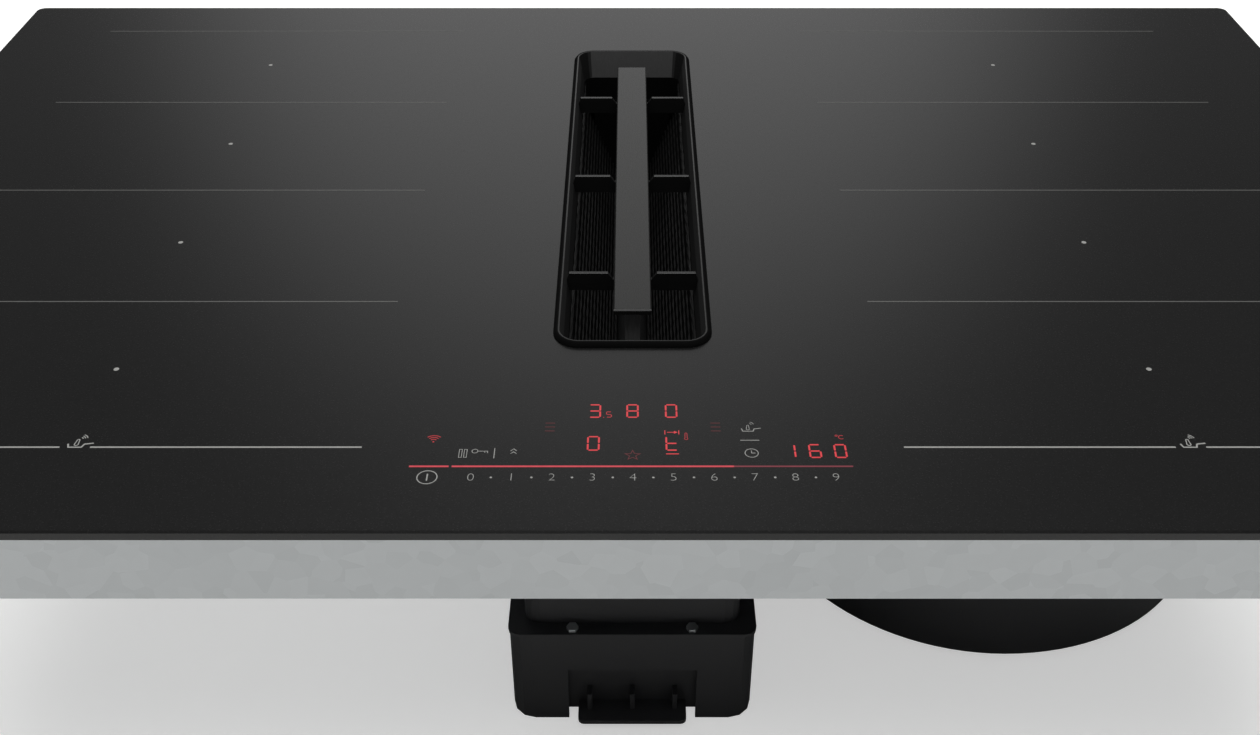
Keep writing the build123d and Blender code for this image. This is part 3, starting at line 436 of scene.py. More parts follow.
def add_area(mesh, points):
    """A filled area with the points as its outline."""
    places = [on_glass(x, d) for x, d in points]
    top = [mesh.verts.new((x, y, ink_high)) for x, y in places]
    bottom = [mesh.verts.new((x, y, ink_low)) for x, y in places]
    mesh.faces.new(top)
    mesh.faces.new(reversed(bottom))
    for i in range(len(points)):
        mesh.faces.new((top[i - 1], bottom[i - 1], bottom[i], top[i]))


def around(x, d, radius, angle):
    """The point of a circle about x, d that lies at an angle in degrees from +x."""
    turn = math.radians(angle)
    return x + radius * math.cos(turn), d + radius * math.sin(turn)


def arc(x, d, radius, start=0, end=360, steps=24):
    """Points on an arc about x, d. A whole circle's last point, the first one again, is left out."""
    count = steps if end - start == 360 else steps + 1
    return [around(x, d, radius, start + (end - start) * i / steps) for i in range(count)]


def keep_piece(mesh, name, material, body, slot, *more_materials):
    """Turns a finished mesh into a piece that rides on a body, with its faces pointing outwards."""
    bmesh.ops.recalc_face_normals(mesh, faces=mesh.faces)
    data = bpy.data.meshes.new(name)
    for finish in (material, *more_materials):
        data.materials.append(finish)
    mesh.to_mesh(data)
    mesh.free()
    piece = bpy.data.objects.new(name, data)
    bpy.context.scene.collection.objects.link(piece)
    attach(piece, body)
    print(name, len(data.polygons), "faces, on", body)
    return piece


# %% [markdown]
# ## Inks and display light
# The printed ink is a matt grey enamel. The lit figures aren't ink: small lamps under the glass shine
# through windows in its black backing, so they glow in the glass. Small signs glow less than the figures,
# and symbols that are switched off but can be chosen glow at a low level. Each is drawn as a shape that
# gives light, a little uneven, as a lamp behind a diffuser is.

# %% Ink and display materials
print_ink = grained(
    "fired_grey_enamel_ink", "#9a9a97", 0.5, IOR=1.5,
    grain=0.5, low="#8e8e8b", high="#a6a6a3", roughness=(0.45, 0.6),
)
faint_ink = grained(
    "fired_dark_grey_enamel_ink", "#5d5d5b", 0.5, IOR=1.5,
    grain=0.5, low="#565654", high="#656563", roughness=(0.45, 0.6),
)


def lamp_material(name, low, high):
    """A red lamp's light behind a diffuser, between two colours."""
    material, tree, shader = new_material(name, "#100606", 0.3, Emission_Strength=1.0)
    place = add_node(tree, "ShaderNodeTexCoord")
    spot_size = 2.5
    spots = add_node(
        tree, "ShaderNodeTexNoise", {"Vector": place.outputs["Object"], "Scale": 1000 / spot_size},
    )
    tree.links.new(between(tree, spots.outputs["Fac"], low, high), shader.inputs["Emission Color"])
    return material


lit_red = lamp_material("red_lamp_light", "#cb343c", "#e64a50")
half_red = lamp_material("red_lamp_light_half", "#a82c33", "#bc3a41")
dim_red = lamp_material("red_lamp_light_dimmed", "#502024", "#5e282c")
slider_red = lamp_material("red_lamp_light_slider", "#c23c48", "#d6505a")
slider_dim = lamp_material("red_lamp_light_slider_dimmed", "#74303a", "#803842")
print("inks ready")

# %% [markdown]
# ## Zone marks
# Each side of the inlet is one long cooking area that can be split in four. Five printed lines cross it at
# even steps, the front one stronger than the rest, and a dot marks the middle of each quarter. A gap in the
# front line holds the sign of a pan with a probe in it: the hob can read a pan's temperature there.

# %% Zone lines and pan signs
first_line, line_step, line_count = 50.35, 107.6, 5
line_near, line_far = 109.4, 340.1
gap_near, gap_far = 219.1, 231.4
front_width, rear_width, pan_width = 0.9, 0.7, 0.7


def add_pan(mesh, x, d, size, width, waves=(1.2, 2.1, 3.0)):
    """A pan with a handle, a probe in it and waves over it. x, d is the left end of its bottom."""
    fine_width = width * 0.6

    def spots(places):
        return [(x + across * size, d + up * size) for across, up in places]

    add_line(mesh, spots([(-0.7, 2.2), (0, 0), (5.3, 0), (6.0, 2.0), (9.6, 2.6)]), width)
    probe = arc(2.7, 1.9, 0.8, 160, 380, 10) + arc(2.8, 4.6, 0.5, 15, 165, 6)
    add_line(mesh, spots(probe), fine_width, closed=True)
    for radius in waves:
        add_line(mesh, spots(arc(3.2, 5.2, radius, 14, 70, 6)), fine_width)


zone_print = bmesh.new()
for side in (-1, 1):
    for start, stop in ((line_near, gap_near), (gap_far, line_far)):
        add_line(zone_print, [(side * start, first_line), (side * stop, first_line)], front_width)
for x in (-227.9, 222.3):
    add_pan(zone_print, x, 50.3, 1.0, pan_width)
keep_piece(zone_print, "front_zone_lines", print_ink, "hob", "glass_ceramic")

rear_print = bmesh.new()
for row in range(1, line_count):
    for side in (-1, 1):
        depth = first_line + row * line_step
        add_line(rear_print, [(side * line_near, depth), (side * line_far, depth)], rear_width)
keep_piece(rear_print, "rear_zone_lines", faint_ink, "hob", "glass_ceramic")

# %% [markdown]
# ## The touch panel
# A slider runs along the front edge from 0 to 9, with a red line of light over it that shows how far it is
# turned up. Above it stand seven-segment figures, the same kind as on a clock. Each segment is a long
# hexagon, so one function that draws a segment between two points makes every figure.

# %% Seven-segment figures
SEGMENTS = {
    "a": ((0, 2), (1, 2)), "b": ((1, 2), (1, 1)), "c": ((1, 1), (1, 0)), "d": ((0, 0), (1, 0)),
    "e": ((0, 1), (0, 0)), "f": ((0, 2), (0, 1)), "g": ((0, 1), (1, 1)),
}
FIGURES = {"0": "abcdef", "1": "bc", "3": "abcdg", "5": "acdfg", "6": "acdefg", "8": "abcdefg", "t": "defg"}


def add_figure(mesh, figure, x, d, width, height, thick, gap=0.12):
    """One seven-segment figure with its middle at x, d."""
    wide, half = width - thick, (height - thick) / 2
    slant, tip = thick * 0.32, gap + thick * 0.18
    for segment in FIGURES[figure]:
        ends = []
        for a, b in SEGMENTS[segment]:
            ends.append(Vector((x - wide / 2 + a * wide, d - half + b * half)))
        along = (ends[1] - ends[0]).normalized()
        across = Vector((-along.y, along.x)) * thick / 2
        near, far = ends[0] + along * tip, ends[1] - along * tip
        inwards = along * slant
        upper = [near, near + inwards + across, far - inwards + across]
        lower = [far, far - inwards - across, near + inwards - across]
        add_area(mesh, upper + lower)


segment_thick = 0.75
lit = bmesh.new()
for figure, x, d, width, height in (
    ("3", -15.8, 74.3, 5.2, 9.2), ("8", -0.1, 74.3, 5.2, 9.2), ("0", 16.0, 74.3, 5.2, 9.2),
    ("0", -16.0, 52.8, 5.2, 9.4), ("t", 15.8, 52.8, 5.2, 9.4),
    ("1", 63.0, 47.9, 5.1, 8.8), ("6", 73.3, 47.9, 5.1, 8.8), ("0", 83.5, 47.9, 5.1, 8.8),
):
    add_figure(lit, figure, x, d, width, height, segment_thick)
# the line under the lower right figure, and the arrow between two stops over it
add_line(lit, [(13.3, 46.1), (18.5, 46.1)], 0.5)
for x in (13.1, 18.8):
    add_line(lit, [(x, 58.6), (x, 61.3)], 0.35)
add_line(lit, [(14.0, 60.0), (17.0, 60.0)], 0.35)
add_area(lit, [(16.8, 59.1), (18.3, 60.0), (16.8, 60.9)])
keep_piece(lit, "lit_figures", lit_red, "hob", "glass_ceramic")

half_lit = bmesh.new()
# a small figure after the point
add_figure(half_lit, "5", -9.9, 71.9, 2.4, 4.0, 0.4, 0.05)
add_area(half_lit, arc(-12.1, 70.0, 0.25, steps=10))
# degrees Celsius
add_line(half_lit, arc(82.9, 57.8, 0.45, steps=12), 0.25, closed=True)
add_line(half_lit, arc(84.9, 56.8, 1.15, 50, 310, 14), 0.3)
# the thermometer
add_line(half_lit, arc(21.7, 55.9, 0.7, 130, 410, 10) + arc(21.7, 59.2, 0.4, 0, 180, 6), 0.25, closed=True)
# the fan of arcs over the power sign
power_x = -80.9
add_area(half_lit, arc(power_x, 53.8, 0.4, steps=12))
for radius in (1.6, 2.8, 4.0):
    add_line(half_lit, arc(power_x, 53.8, radius, 48, 132, 10), 0.4)
keep_piece(half_lit, "half_lit_signs", half_red, "hob", "glass_ceramic")

slider_d, slider_zero, slider_one, slider_level, slider_nine = 38.3, -88.8, -73.1, 40.1, 87.4
slider_gap, bright_width, dimmed_width = 1.2, 0.95, 0.85
slider = bmesh.new()
add_line(slider, [(slider_zero, slider_d), (slider_one, slider_d)], bright_width)
add_line(slider, [(slider_one + slider_gap, slider_d), (slider_level, slider_d)], bright_width)
keep_piece(slider, "slider_light", slider_red, "hob", "glass_ceramic")
slider = bmesh.new()
add_line(slider, [(slider_level, slider_d), (slider_nine, slider_d)], dimmed_width)
keep_piece(slider, "slider_light_dimmed", slider_dim, "hob", "glass_ceramic")

dimmed = bmesh.new()
star_x, star_d, star_points = -0.1, 45.2, 5
star_step = 360 // star_points
star = []
for point in range(star_points):
    star.append(around(star_x, star_d, 3.1, 90 + star_step * point))
    star.append(around(star_x, star_d, 1.3, 90 + star_step // 2 + star_step * point))
add_line(dimmed, star, 0.35, closed=True)
# three short lines in each of two columns
for x in (-34.0, 34.0):
    for d in (60.9, 63.5, 66.1):
        add_line(dimmed, [(x - 2.0, d), (x + 2.0, d)], 0.4)
keep_piece(dimmed, "dimmed_signs", dim_red, "hob", "glass_ceramic")

# %% [markdown]
# ## Printed signs of the panel
# The signs that are always there are printed: a power ring, a pause sign, a key, arrows, a clock and a pan.
# They are the plain signs that any hob may carry. The slider's figures are set in Blender's own typeface,
# given a little depth and turned into a mesh, because text has no faces of its own until it is turned into
# one.

# %% Panel signs
signs = bmesh.new()
# power
add_line(signs, arc(power_x, 31.6, 3.95, steps=32), 0.42, closed=True)
add_line(signs, [(power_x, 29.6), (power_x, 33.7)], 0.55)
# pause
for x in (-69.2, -67.2):
    stroke = [(x - 0.55, 43.9), (x + 0.55, 43.9), (x + 0.55, 48.9), (x - 0.55, 48.9)]
    add_line(signs, stroke, 0.25, closed=True)
# key
add_line(signs, arc(-63.5, 47.8, 1.2, steps=16), 0.3, closed=True)
add_line(signs, [(-62.3, 47.8), (-58.4, 47.8), (-58.4, 46.7)], 0.32)
add_line(signs, [(-59.5, 47.8), (-59.5, 46.9)], 0.32)
# divider and the arrows that mean full power
add_line(signs, [(-55.6, 43.3), (-55.6, 49.6)], 0.35)
for d in (46.8, 48.6):
    add_line(signs, [(-49.1, d - 0.6), (-47.9, d + 0.6), (-46.7, d - 0.6)], 0.32)
# pan, line and clock
add_pan(signs, 45.1, 60.7, 0.78, 0.4, waves=(1.6, 2.8))
add_line(signs, [(43.6, 54.8), (51.4, 54.8)], 0.38)
add_line(signs, arc(47.7, 46.6, 2.65), 0.32, closed=True)
add_line(signs, [(47.7, 48.2), (47.7, 46.6), (49.2, 46.6)], 0.32)

number_d, number_step, number_first = 31.5, 15.96, -63.8
number_height, number_thinning = 4.2, -0.026
for number in range(10):
    text = bpy.data.curves.new("number", "FONT")
    text.body = str(number)
    text.align_x, text.align_y = "CENTER", "CENTER"
    text.size = 1.0
    text.extrude = 0.5
    text.offset = number_thinning
    written = bpy.data.objects.new("number", text)
    bpy.context.scene.collection.objects.link(written)
    depsgraph = bpy.context.evaluated_depsgraph_get()
    data = bpy.data.meshes.new_from_object(written.evaluated_get(depsgraph))
    heights = [corner.co.y for corner in data.vertices]
    scale = number_height / (max(heights) - min(heights))
    for corner in data.vertices:
        x = number_first + number * number_step + corner.co.x * scale
        d = number_d + corner.co.y * scale
        corner.co = (*on_glass(x, d), ink_high if corner.co.z > 0 else ink_low)
    signs.from_mesh(data)
    bpy.data.objects.remove(written)
    bpy.data.curves.remove(text)
    bpy.data.meshes.remove(data)
bmesh.ops.remove_doubles(signs, verts=signs.verts, dist=0.000002)
keep_piece(signs, "panel_signs", print_ink, "hob", "glass_ceramic")

# %% [markdown]
# ## Growing pieces with Geometry Nodes
# What repeats by a rule is grown by a tree of Geometry Nodes: the tree says the rule once, and its inputs
# say how many, how large and how far apart. One helper starts a tree with named inputs. Another runs it,
# keeps the result as a plain mesh and takes the modifier off again, so the piece is an ordinary mesh for
# everything that follows.

# %% Tree helpers
def new_tree(name, **inputs):
    """An empty Geometry Nodes tree with named inputs, the inputs' sockets and the tree's output node."""
    tree = bpy.data.node_groups.new(name, "GeometryNodeTree")
    for label, kind in inputs.items():
        tree.interface.new_socket(label, in_out="INPUT", socket_type="NodeSocket" + kind)
    tree.interface.new_socket("Geometry", in_out="OUTPUT", socket_type="NodeSocketGeometry")
    return tree, add_node(tree, "NodeGroupInput").outputs, tree.nodes.new("NodeGroupOutput")


def math_node(tree, operation, a, b=0.0):
    """The result of one sum of two values."""
    return add_node(tree, "ShaderNodeMath", {0: a, 1: b}, operation=operation).outputs[0]


def end_tree(tree, output, instances):
    """Makes instances real and ends the tree."""
    real = add_node(tree, "GeometryNodeRealizeInstances", {"Geometry": instances})
    tree.links.new(real.outputs["Geometry"], output.inputs["Geometry"])


def grow(tree, **values):
    """Runs a tree with the given inputs and gives the mesh that it grows."""
    holder = bpy.data.objects.new(tree.name, bpy.data.meshes.new(tree.name))
    bpy.context.scene.collection.objects.link(holder)
    modifier = holder.modifiers.new(tree.name, "NODES")
    modifier.node_group = tree
    for socket in tree.interface.items_tree:
        if socket.in_out == "INPUT":
            modifier[socket.identifier] = values[socket.name]
    depsgraph = bpy.context.evaluated_depsgraph_get()
    data = bpy.data.meshes.new_from_object(holder.evaluated_get(depsgraph), depsgraph=depsgraph)
    holder.modifiers.remove(modifier)
    bpy.data.objects.remove(holder)
    mesh = bmesh.new()
    mesh.from_mesh(data)
    bpy.data.meshes.remove(data)
    return mesh


print("tree helpers ready")

# %% [markdown]
# ## Rows of dots
# Dots stand in the middle of each quarter of the cooking areas, and between the slider's figures. A Mesh
# Line gives the places and a flat cylinder is set on each. Discs could be drawn by the ink functions too,
# but one tree serves both rows, and its count and step can be read off at once.

# %% Dots
tree, given, output = new_tree(
    "row_of_dots", Radius="Float", Thickness="Float", Count="Int", First="Vector", Step="Vector",
)
places = add_node(
    tree, "GeometryNodeMeshLine",
    {"Count": given["Count"], "Start Location": given["First"], "Offset": given["Step"]}, mode="OFFSET",
)
dot = add_node(
    tree, "GeometryNodeMeshCylinder", {"Vertices": 20, "Radius": given["Radius"], "Depth": given["Thickness"]}
)
dots = add_node(
    tree, "GeometryNodeInstanceOnPoints", {"Points": places.outputs["Mesh"], "Instance": dot.outputs["Mesh"]}
)
end_tree(tree, output, dots.outputs["Instances"])

ink_middle, ink_depth = (ink_low + ink_high) / 2, ink_high - ink_low
zone_dot_radius, zone_dot_out, slider_dot_radius = 0.0012, 0.2244, 0.0005
zone_dots = bmesh.new()
for side in (-1, 1):
    row = grow(
        tree, Radius=zone_dot_radius, Thickness=ink_depth, Count=line_count - 1,
        First=(side * zone_dot_out, glass_front + (first_line + line_step / 2) / 1000, ink_middle),
        Step=(0.0, line_step / 1000, 0.0),
    )
    part = bpy.data.meshes.new("row")
    row.to_mesh(part)
    row.free()
    zone_dots.from_mesh(part)
    bpy.data.meshes.remove(part)
keep_piece(zone_dots, "zone_dots", print_ink, "hob", "glass_ceramic")
slider_dots = grow(
    tree, Radius=slider_dot_radius, Thickness=ink_depth, Count=9,
    First=(*on_glass(number_first + number_step / 2, number_d), ink_middle),
    Step=(number_step / 1000, 0.0, 0.0),
)
keep_piece(slider_dots, "slider_dots", print_ink, "hob", "glass_ceramic")

# %% [markdown]
# ## The inlet's frame in its finishes
# The walls of the mouth come up to a thin edge, and the ribs' tops are rounded by a quarter of a
# millimetre. The CAD frame has the form but a broader edge and sharp ribs, so a copy of it is finished
# here. A imported mesh is loose triangles. They are merged first, then flat neighbours are joined. Each
# corner of the walls moves outwards by its share of the rim's width, a bevel runs along the ribs' tops, and
# the long walls are cut at half their height. Last, each face takes its finish: black for the ribs, grey
# for the ribs' tops and the rim's. The mouth's turned corners and the long walls' lower half are painted
# black as shade, and the flat end walls are painted a lighter grey as light.

# %% Finish a copy of the frame
rim_low, rim_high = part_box("inlet_frame")
rim_middle = (rim_low + rim_high) / 2
rim_width, rim_length, rim_corner = rim_high.x - rim_low.x, rim_high.y - rim_low.y, 0.0104
mouth_width, mouth_length, mouth_corner = 0.0642, 0.318, 0.0082
wall_draw, wall_gain, end_band, hair = 0.0022, 0.0009, 0.003, 0.00002
wall_foot = mouth_width / 2 - wall_draw - hair
rib_top, rib_round, rib_reach, rib_thick = glass_height - 0.0006, 0.00025, 0.0312, 0.002
top_depth = 0.0003
rib_rows, rib_step, spine_reach = (-1, 0, 1), 0.0983, 0.008
# how much of a face's normal points one way: nearly all of it, most of it, some of it
straight, mostly, partly = 0.95, 0.5, 0.2


def merged_copy(name):
    """A copy of a CAD node's mesh, with its triangles merged and its flat neighbours joined."""
    mesh = bmesh.new()
    mesh.from_mesh(nodes[name].data)
    bmesh.ops.remove_doubles(mesh, verts=mesh.verts, dist=hair)
    bmesh.ops.dissolve_limit(mesh, angle_limit=math.radians(0.5), verts=mesh.verts, edges=mesh.edges)
    return mesh


def on_long_wall(face):
    """Whether a face belongs to one of the mouth's two long walls, which face each other."""
    x = face.calc_center_median().x
    return face.normal.x * x < 0 and abs(face.normal.x) > straight and abs(x) > wall_foot


shell = merged_copy("inlet_frame")
moved = 0
for corner in shell.verts:
    rise = (corner.co.z - rim_low.z) / (rim_high.z - rim_low.z)
    draw = wall_draw * (1 - rise)
    x, y = corner.co.x, corner.co.y - rim_middle.y
    # a point of the wall lies one corner radius out from the line its corners turn on
    out_x = max(abs(x) - mouth_width / 2 + mouth_corner, 0)
    out_y = max(abs(y) - mouth_length / 2 + mouth_corner, 0)
    out = Vector((out_x, out_y))
    if abs(out.length - (mouth_corner - draw)) < 5 * hair:
        out = out.normalized() * wall_gain * rise
        corner.co.x += math.copysign(out.x, x)
        corner.co.y += math.copysign(out.y, y)
        moved += 1
shell.normal_update()
rib_edges = []
for edge in shell.edges:
    level = all(abs(corner.co.z - rib_top) < hair for corner in edge.verts)
    if level and len(edge.link_faces) == 2 and edge.calc_length() > rib_thick * 2:
        rib_edges.append(edge)
bmesh.ops.bevel(shell, geom=rib_edges, offset=rib_round, segments=2, profile=0.5, affect="EDGES")

black_below = (rim_low.z + rim_high.z) / 2
walls = [face for face in shell.faces if on_long_wall(face)]
wall_edges = [edge for edge in shell.edges if any(map(on_long_wall, edge.link_faces))]
wall_corners = [corner for corner in shell.verts if any(map(on_long_wall, corner.link_faces))]
bmesh.ops.bisect_plane(
    shell, geom=walls + wall_edges + wall_corners,
    dist=hair, plane_co=(0, 0, black_below), plane_no=(0, 0, 1),
)
# The cut leaves the faces in an order that can change from run to run. Put in the order of their
# corners, they make the same mesh each time.
shell.verts.index_update()
by_corners = sorted(shell.faces, key=lambda face: [corner.index for corner in face.verts])
for place, face in enumerate(by_corners):
    face.index = place
shell.faces.sort()

# finishes of the frame's faces: the black also serves as painted shade, the lighter grey as painted light
wall_grey, black_and_painted_shade, top_grey, painted_light_grey = 0, 1, 2, 3
counts = [0, 0, 0, 0]
for face in shell.faces:
    spot, facing = face.calc_center_median(), face.normal
    away = spot.y - rim_middle.y
    along = min(abs(away - row * rib_step) for row in rib_rows)
    on_spine = abs(away) < rib_step and abs(spot.x) < spine_reach
    if abs(spot.x) < rib_reach and spot.z < rib_top + hair and (along < rib_thick or on_spine):
        top = facing.z > 0.4 and spot.z > rib_top - top_depth
        face.material_index = top_grey if top else black_and_painted_shade
    # the flat end walls, painted a lighter grey as the light that falls on them
    elif abs(facing.y) > straight and mouth_length / 2 - end_band < abs(away) < mouth_length / 2 + wall_gain:
        face.material_index = painted_light_grey
    elif on_long_wall(face):
        # the long walls' lower half is painted black as shade
        face.material_index = black_and_painted_shade if spot.z < black_below else wall_grey
    elif partly < abs(facing.x) < straight and abs(facing.z) < mostly and abs(spot.x) < mouth_width / 2:
        # the turned corners of the mouth: painted shade, black on the faces that lie nearest the long walls
        face.material_index = black_and_painted_shade if abs(facing.x) > mostly else wall_grey
    elif facing.z > 0.9 and spot.z > rim_high.z - hair:
        face.material_index = top_grey
    counts[face.material_index] += 1
frame_copy = keep_piece(
    shell, "inlet_frame_in_its_finishes", dark_anodised, "lift_out_inlet", "dark_aluminium",
    black_anodised_and_painted_shade, bar_anodised, end_walls_painted_light,
)
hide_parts("inlet_frame")
print(moved, "corners moved,", len(rib_edges), "rib edges, faces by finish", counts)

# %% [markdown]
# ## The bar's front end
# The bar was cut to length and anodised. A small bevel breaks its front top edge and leans towards the
# cook, and it is painted a pale grey, a painted highlight that draws a short light line along the bar's
# end. The front end is also moved towards the cook by 0.6 mm, to where the photograph has it.

# %% Break the front edge of a copy of the bar
bar_low, bar_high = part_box("handle_bar")
bar_gain, edge_broken, front_band, top_band = 0.0006, 0.0005, 0.002, 0.0008
bar_mesh = merged_copy("handle_bar")
for corner in bar_mesh.verts:
    if corner.co.y < bar_low.y + front_band:
        corner.co.y -= bar_gain
front_edges = []
for edge in bar_mesh.edges:
    at_front = all(corner.co.y < bar_low.y - bar_gain + hair for corner in edge.verts)
    at_top = all(corner.co.z > bar_high.z - top_band for corner in edge.verts)
    if at_front and at_top:
        front_edges.append(edge)
# the bevel takes the second material, the pale grey of the painted highlight
broken = bmesh.ops.bevel(
    bar_mesh, geom=front_edges, offset=edge_broken, segments=1, profile=0.5, affect="EDGES", material=1,
)
bar_copy = keep_piece(
    bar_mesh, "handle_bar_with_broken_edge", bar_anodised, "lift_out_inlet", "satin_aluminium",
    bar_edge_highlight,
)
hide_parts("handle_bar")
print(len(front_edges), "front edges broken,", len(broken["faces"]), "faces")

# %% [markdown]
# ## The black lip round the rim
# A black lip laps from the glass up over the rim's outside and hides it. It is a dark sheet set on the
# rim's outer face as painted shade, so from above the rim's flat top draws one thin light line round the
# mouth. The lip follows a rounded rectangle, with a section that isn't round, so it is swept by hand: the
# section is set up at each step of the way round and joined to the one before.

# %% Black lip of painted shade round the rim
lip_reach, lip_height, lip_over, corner_steps = 0.0013, 0.00235, -0.0006, 12
lip_section = [
    (lip_over, 0.0001), (lip_reach, 0.0001), (lip_reach, 0.0006), (0.0008, 0.0014), (0.0002, 0.0021),
    (-0.0003, lip_height), (lip_over, lip_height),
]
lip = bmesh.new()
rings = []
for quarter, (x, y) in enumerate(((1, 1), (-1, 1), (-1, -1), (1, -1))):
    for step in range(corner_steps + 1):
        turn = math.radians(90 * (quarter + step / corner_steps))
        row = []
        for out, up in lip_section:
            reach = rim_corner + out
            across = x * (rim_width / 2 - rim_corner) + reach * math.cos(turn)
            along = y * (rim_length / 2 - rim_corner) + reach * math.sin(turn)
            row.append(lip.verts.new((across, rim_middle.y + along, glass_height + up)))
        rings.append(row)
for i, row in enumerate(rings):
    for k in range(len(row)):
        lip.faces.new((rings[i - 1][k - 1], rings[i - 1][k], row[k], row[k - 1]))
# painted shade: the lip is a black sheet over the rim's outside
keep_piece(lip, "rim_painted_shade_lip", black_rubber_and_painted_shade, "lift_out_inlet", "foam_seal")

# %% [markdown]
# ## Filter mesh
# The grease filter is two panels of knitted steel wire that stand in a V under the mouth. Seen from above,
# each panel is a row of twisted wire ropes, and every half twist catches a spark of light. Each rope is two
# plies: a line is bent into a helix by adding a turning offset to its points, then swept with a small
# circle. The plies are copied down the slope, each rope turned a little against its neighbour so that the
# sparks don't line up. At the top the mesh stands upright against the collar of its tray, which takes three
# more ropes on each side. A sheet with a folded strip along its top and its foot backs the ropes, so that
# no light comes through them.

# %% Twisted wire ropes
tree, given, output = new_tree(
    "rows_of_rope", Length="Float", Wire="Float", Twist="Float", Pitch="Float", Ropes="Int", First="Vector",
    Step="Vector", Turn="Float",
)
half = math_node(tree, "MULTIPLY", given["Length"], 0.5)
start = add_node(tree, "ShaderNodeCombineXYZ", {"Y": math_node(tree, "MULTIPLY", given["Length"], -0.5)})
stop = add_node(tree, "ShaderNodeCombineXYZ", {"Y": half})
line = add_node(tree, "GeometryNodeCurvePrimitiveLine", {"Start": start.outputs[0], "End": stop.outputs[0]})
steps_per_turn, ply_sides = 16.0, 6
rope_step = math_node(tree, "DIVIDE", given["Pitch"], steps_per_turn)
fine = add_node(
    tree, "GeometryNodeResampleCurve", {"Curve": line.outputs["Curve"], "Length": rope_step}, mode="LENGTH",
)
along = add_node(tree, "ShaderNodeSeparateXYZ", {0: add_node(tree, "GeometryNodeInputPosition").outputs[0]})
turn = math_node(tree, "MULTIPLY", math_node(tree, "DIVIDE", along.outputs["Y"], given["Pitch"]), 2 * math.pi)
aside = add_node(
    tree, "ShaderNodeCombineXYZ",
    {
        "X": math_node(tree, "MULTIPLY", math_node(tree, "COSINE", turn), given["Twist"]),
        "Z": math_node(tree, "MULTIPLY", math_node(tree, "SINE", turn), given["Twist"]),
    },
)
helix = add_node(
    tree, "GeometryNodeSetPosition", {"Geometry": fine.outputs["Curve"], "Offset": aside.outputs[0]},
)
profile = add_node(
    tree, "GeometryNodeCurvePrimitiveCircle", {"Resolution": ply_sides, "Radius": given["Wire"]},
)
ply = add_node(
    tree, "GeometryNodeCurveToMesh",
    {"Curve": helix.outputs["Geometry"], "Profile Curve": profile.outputs["Curve"], "Fill Caps": True},
)
# the second ply is the first one turned over, which keeps the hand of its helix
other = add_node(
    tree, "GeometryNodeTransform", {"Geometry": ply.outputs["Mesh"], "Rotation": (0, math.pi, 0)},
)
rope = tree.nodes.new("GeometryNodeJoinGeometry")
tree.links.new(ply.outputs["Mesh"], rope.inputs[0])
tree.links.new(other.outputs["Geometry"], rope.inputs[0])
rows = add_node(
    tree, "GeometryNodeMeshLine",
    {"Count": given["Ropes"], "Start Location": given["First"], "Offset": given["Step"]}, mode="OFFSET",
)
roll = add_node(
    tree, "ShaderNodeCombineXYZ",
    {"Y": math_node(tree, "MULTIPLY", add_node(tree, "GeometryNodeInputIndex").outputs[0], given["Turn"])},
)
ropes = add_node(
    tree, "GeometryNodeInstanceOnPoints",
    {"Points": rows.outputs["Mesh"], "Instance": rope.outputs[0], "Rotation": roll.outputs[0]},
)
end_tree(tree, output, ropes.outputs["Instances"])

wire_steel = grained(
    "oiled_steel_wire", "#484848", 0.4, Metallic=1.0,
    grain=0.6, low="#404040", high="#505050", roughness=(0.34, 0.46),
)
back_steel = grained(
    "blackened_steel_sheet", "#060606", 0.6, Specular_IOR_Level=0.15,
    grain=0.9, low="#040404", high="#080808", roughness=(0.55, 0.7), bump=0.03,
)

wire_radius, wire_offset, rope_pitch, rope_turn, rope_short = 0.00028, 0.00027, 0.024, 0.55, 0.0006
rope_top, rope_foot, rope_count = Vector((0.0296, 0, 0.1920)), Vector((0.0092, 0, 0.1415)), 14
edge_low, edge_step, edge_count = Vector((0.0293, 0, 0.1972)), Vector((0, 0, 0.0046)), 3
# where the sheet and its strips start and stop down the slope, and their near and far side across it
strips = (
    (-0.0012, 0.0560, 0.0009, 0.0014),
    (-0.0026, 0.0002, -0.0009, 0.0009),
    (0.0542, 0.0562, -0.0009, 0.0009),
)


def wind_ropes(name, length, first, step, count):
    """A row of ropes of one length, from the first one's middle on by the step."""
    mesh = grow(
        tree, Length=length, Wire=wire_radius, Twist=wire_offset, Pitch=rope_pitch, Ropes=count, First=first,
        Step=step, Turn=rope_turn,
    )
    return keep_piece(mesh, name, wire_steel, "lift_out_inlet", "filter_steel")


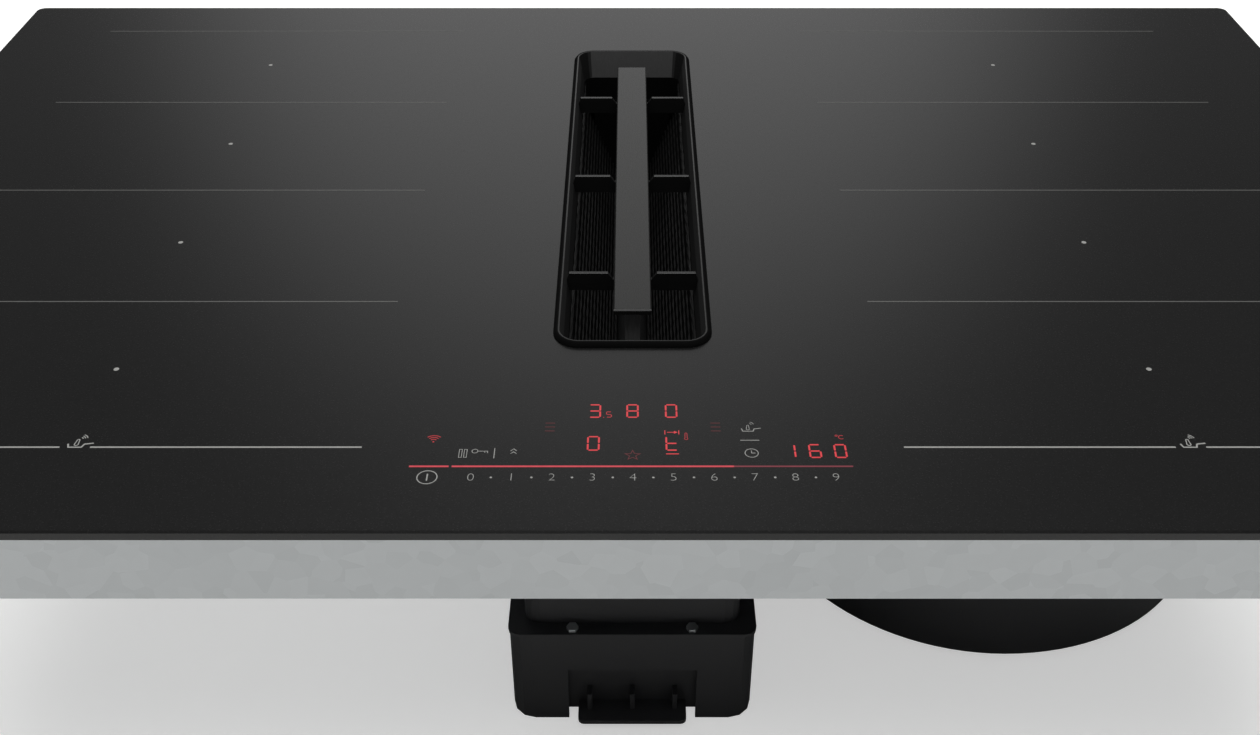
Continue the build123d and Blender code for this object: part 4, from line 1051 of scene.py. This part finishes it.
for name, side in (("left", -1), ("right", 1)):
    low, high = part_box(name + "_mesh_panel")
    mirror = Vector((side, 1, 1))
    middle = Vector((0, (low.y + high.y) / 2, 0))
    top, foot = rope_top * mirror, rope_foot * mirror
    length = high.y - low.y - rope_short
    down = (foot - top) / (rope_count - 1)
    ropes = wind_ropes(name + "_filter_ropes", length, top + middle, down, rope_count)
    wind_ropes(name + "_filter_edge_ropes", length, edge_low * mirror + middle, edge_step, edge_count)
    slope = (foot - top).normalized()
    outward = Vector((side * abs(slope.z), 0, -abs(slope.x)))
    frame_mesh = bmesh.new()
    for start, stop, near, far in strips:
        ends = []
        for y in (low.y, high.y):
            end = []
            for a, b in ((start, near), (stop, near), (stop, far), (start, far)):
                place = top + slope * a + outward * b
                end.append(frame_mesh.verts.new((place.x, y, place.z)))
            ends.append(end)
        frame_mesh.faces.new(ends[0])
        frame_mesh.faces.new(reversed(ends[1]))
        for k in range(4):
            frame_mesh.faces.new((ends[0][k - 1], ends[0][k], ends[1][k], ends[1][k - 1]))
    sheet = keep_piece(frame_mesh, name + "_filter_frame", back_steel, "lift_out_inlet", "filter_steel")
    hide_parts(name + "_mesh_panel")
    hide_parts(name + "_mesh_panel")

# %% [markdown]
# ## Floor
# The hob stands on a plain pale floor. A mixed shader tells the camera's own rays from all others, so the
# camera can see the floor a little brighter than its light makes it while the hob's shadow stays on it.

# %% Floor
def split_for_camera(tree, plain, seen, output):
    """Ends a shader tree with one shader for the camera's own rays and the plain one for all others."""
    ray = add_node(tree, "ShaderNodeLightPath")
    choice = add_node(tree, "ShaderNodeMixShader", {0: ray.outputs["Is Camera Ray"], 1: plain, 2: seen})
    tree.links.new(choice.outputs["Shader"], tree.nodes[output].inputs["Surface"])


floor_mesh = bmesh.new()
floor_reach, floor_z = 15.0, cad_box[0].z
floor_corners = []
for x, y in ((-1, -1), (1, -1), (1, 1), (-1, 1)):
    floor_corners.append(floor_mesh.verts.new((x * floor_reach, y * floor_reach, floor_z)))
floor_mesh.faces.new(floor_corners)
floor_data = bpy.data.meshes.new("studio_floor")
floor_mesh.to_mesh(floor_data)
floor_mesh.free()
floor = bpy.data.objects.new("studio_floor", floor_data)
bpy.context.scene.collection.objects.link(floor)
pale, tree, shader = new_material("pale_studio_floor", "#dcdcda", 0.8)
floor_data.materials.append(pale)
bright = add_node(tree, "ShaderNodeEmission", {"Color": linear("#ffffff"), "Strength": 0.5})
both = add_node(tree, "ShaderNodeAddShader", {0: shader.outputs["BSDF"], 1: bright.outputs["Emission"]})
split_for_camera(tree, shader.outputs["BSDF"], both.outputs["Shader"], "Material Output")
print("floor at", round(floor_z, 4))

# %% [markdown]
# ## Room light
# Black glass shows what it mirrors more than its own colour, and from this camera it mirrors the room
# behind it, low over the horizon. So a soft glow stands back there in an even grey room, dim enough for the
# glass to stay dark grey. The main light is a wide soft glow overhead, where the glass doesn't mirror it,
# at a level that renders a colour about as it is written. Both glows are part of the room's own light,
# because a lamp would mirror with a hard edge: each is brightest in one direction and fades evenly as the
# direction turns away from it, which is a dot product and a smooth step. The camera's own rays see a plain
# pale wall instead.

# %% Room light
world = bpy.data.worlds.new("studio")
bpy.context.scene.world = world
world.use_nodes = True
tree = world.node_tree
way = add_node(tree, "ShaderNodeTexCoord").outputs["Generated"]


def add_glow(level, azimuth, elevation, inner, outer, strength):
    """Adds a glow to the room's light: all of it inside one angle from its middle, none past the other."""
    turn, rise = math.radians(azimuth), math.radians(elevation)
    middle = (math.sin(turn) * math.cos(rise), math.cos(turn) * math.cos(rise), math.sin(rise))
    near = add_node(tree, "ShaderNodeVectorMath", {0: way, 1: middle}, operation="DOT_PRODUCT")
    fade = add_node(
        tree, "ShaderNodeMapRange",
        {
            "Value": near.outputs["Value"], "From Min": math.cos(math.radians(outer)),
            "From Max": math.cos(math.radians(inner)), "To Max": strength,
        },
        interpolation_type="SMOOTHSTEP",
    )
    return add_node(tree, "ShaderNodeMath", {0: level, 1: fade.outputs["Result"]}, operation="ADD").outputs[0]


level = 0.125
level = add_glow(level, azimuth=0, elevation=90, inner=10, outer=38, strength=4.0)
level = add_glow(level, azimuth=-0.7, elevation=22, inner=7.5, outer=21, strength=0.67)
room = tree.nodes["Background"]
room.inputs["Color"].default_value = (1, 1, 1, 1)
tree.links.new(level, room.inputs["Strength"])
seen = add_node(tree, "ShaderNodeBackground", {"Color": linear("#ececea"), "Strength": 1.0})
split_for_camera(tree, room.outputs["Background"], seen.outputs["Background"], "World Output")
print("room lit")
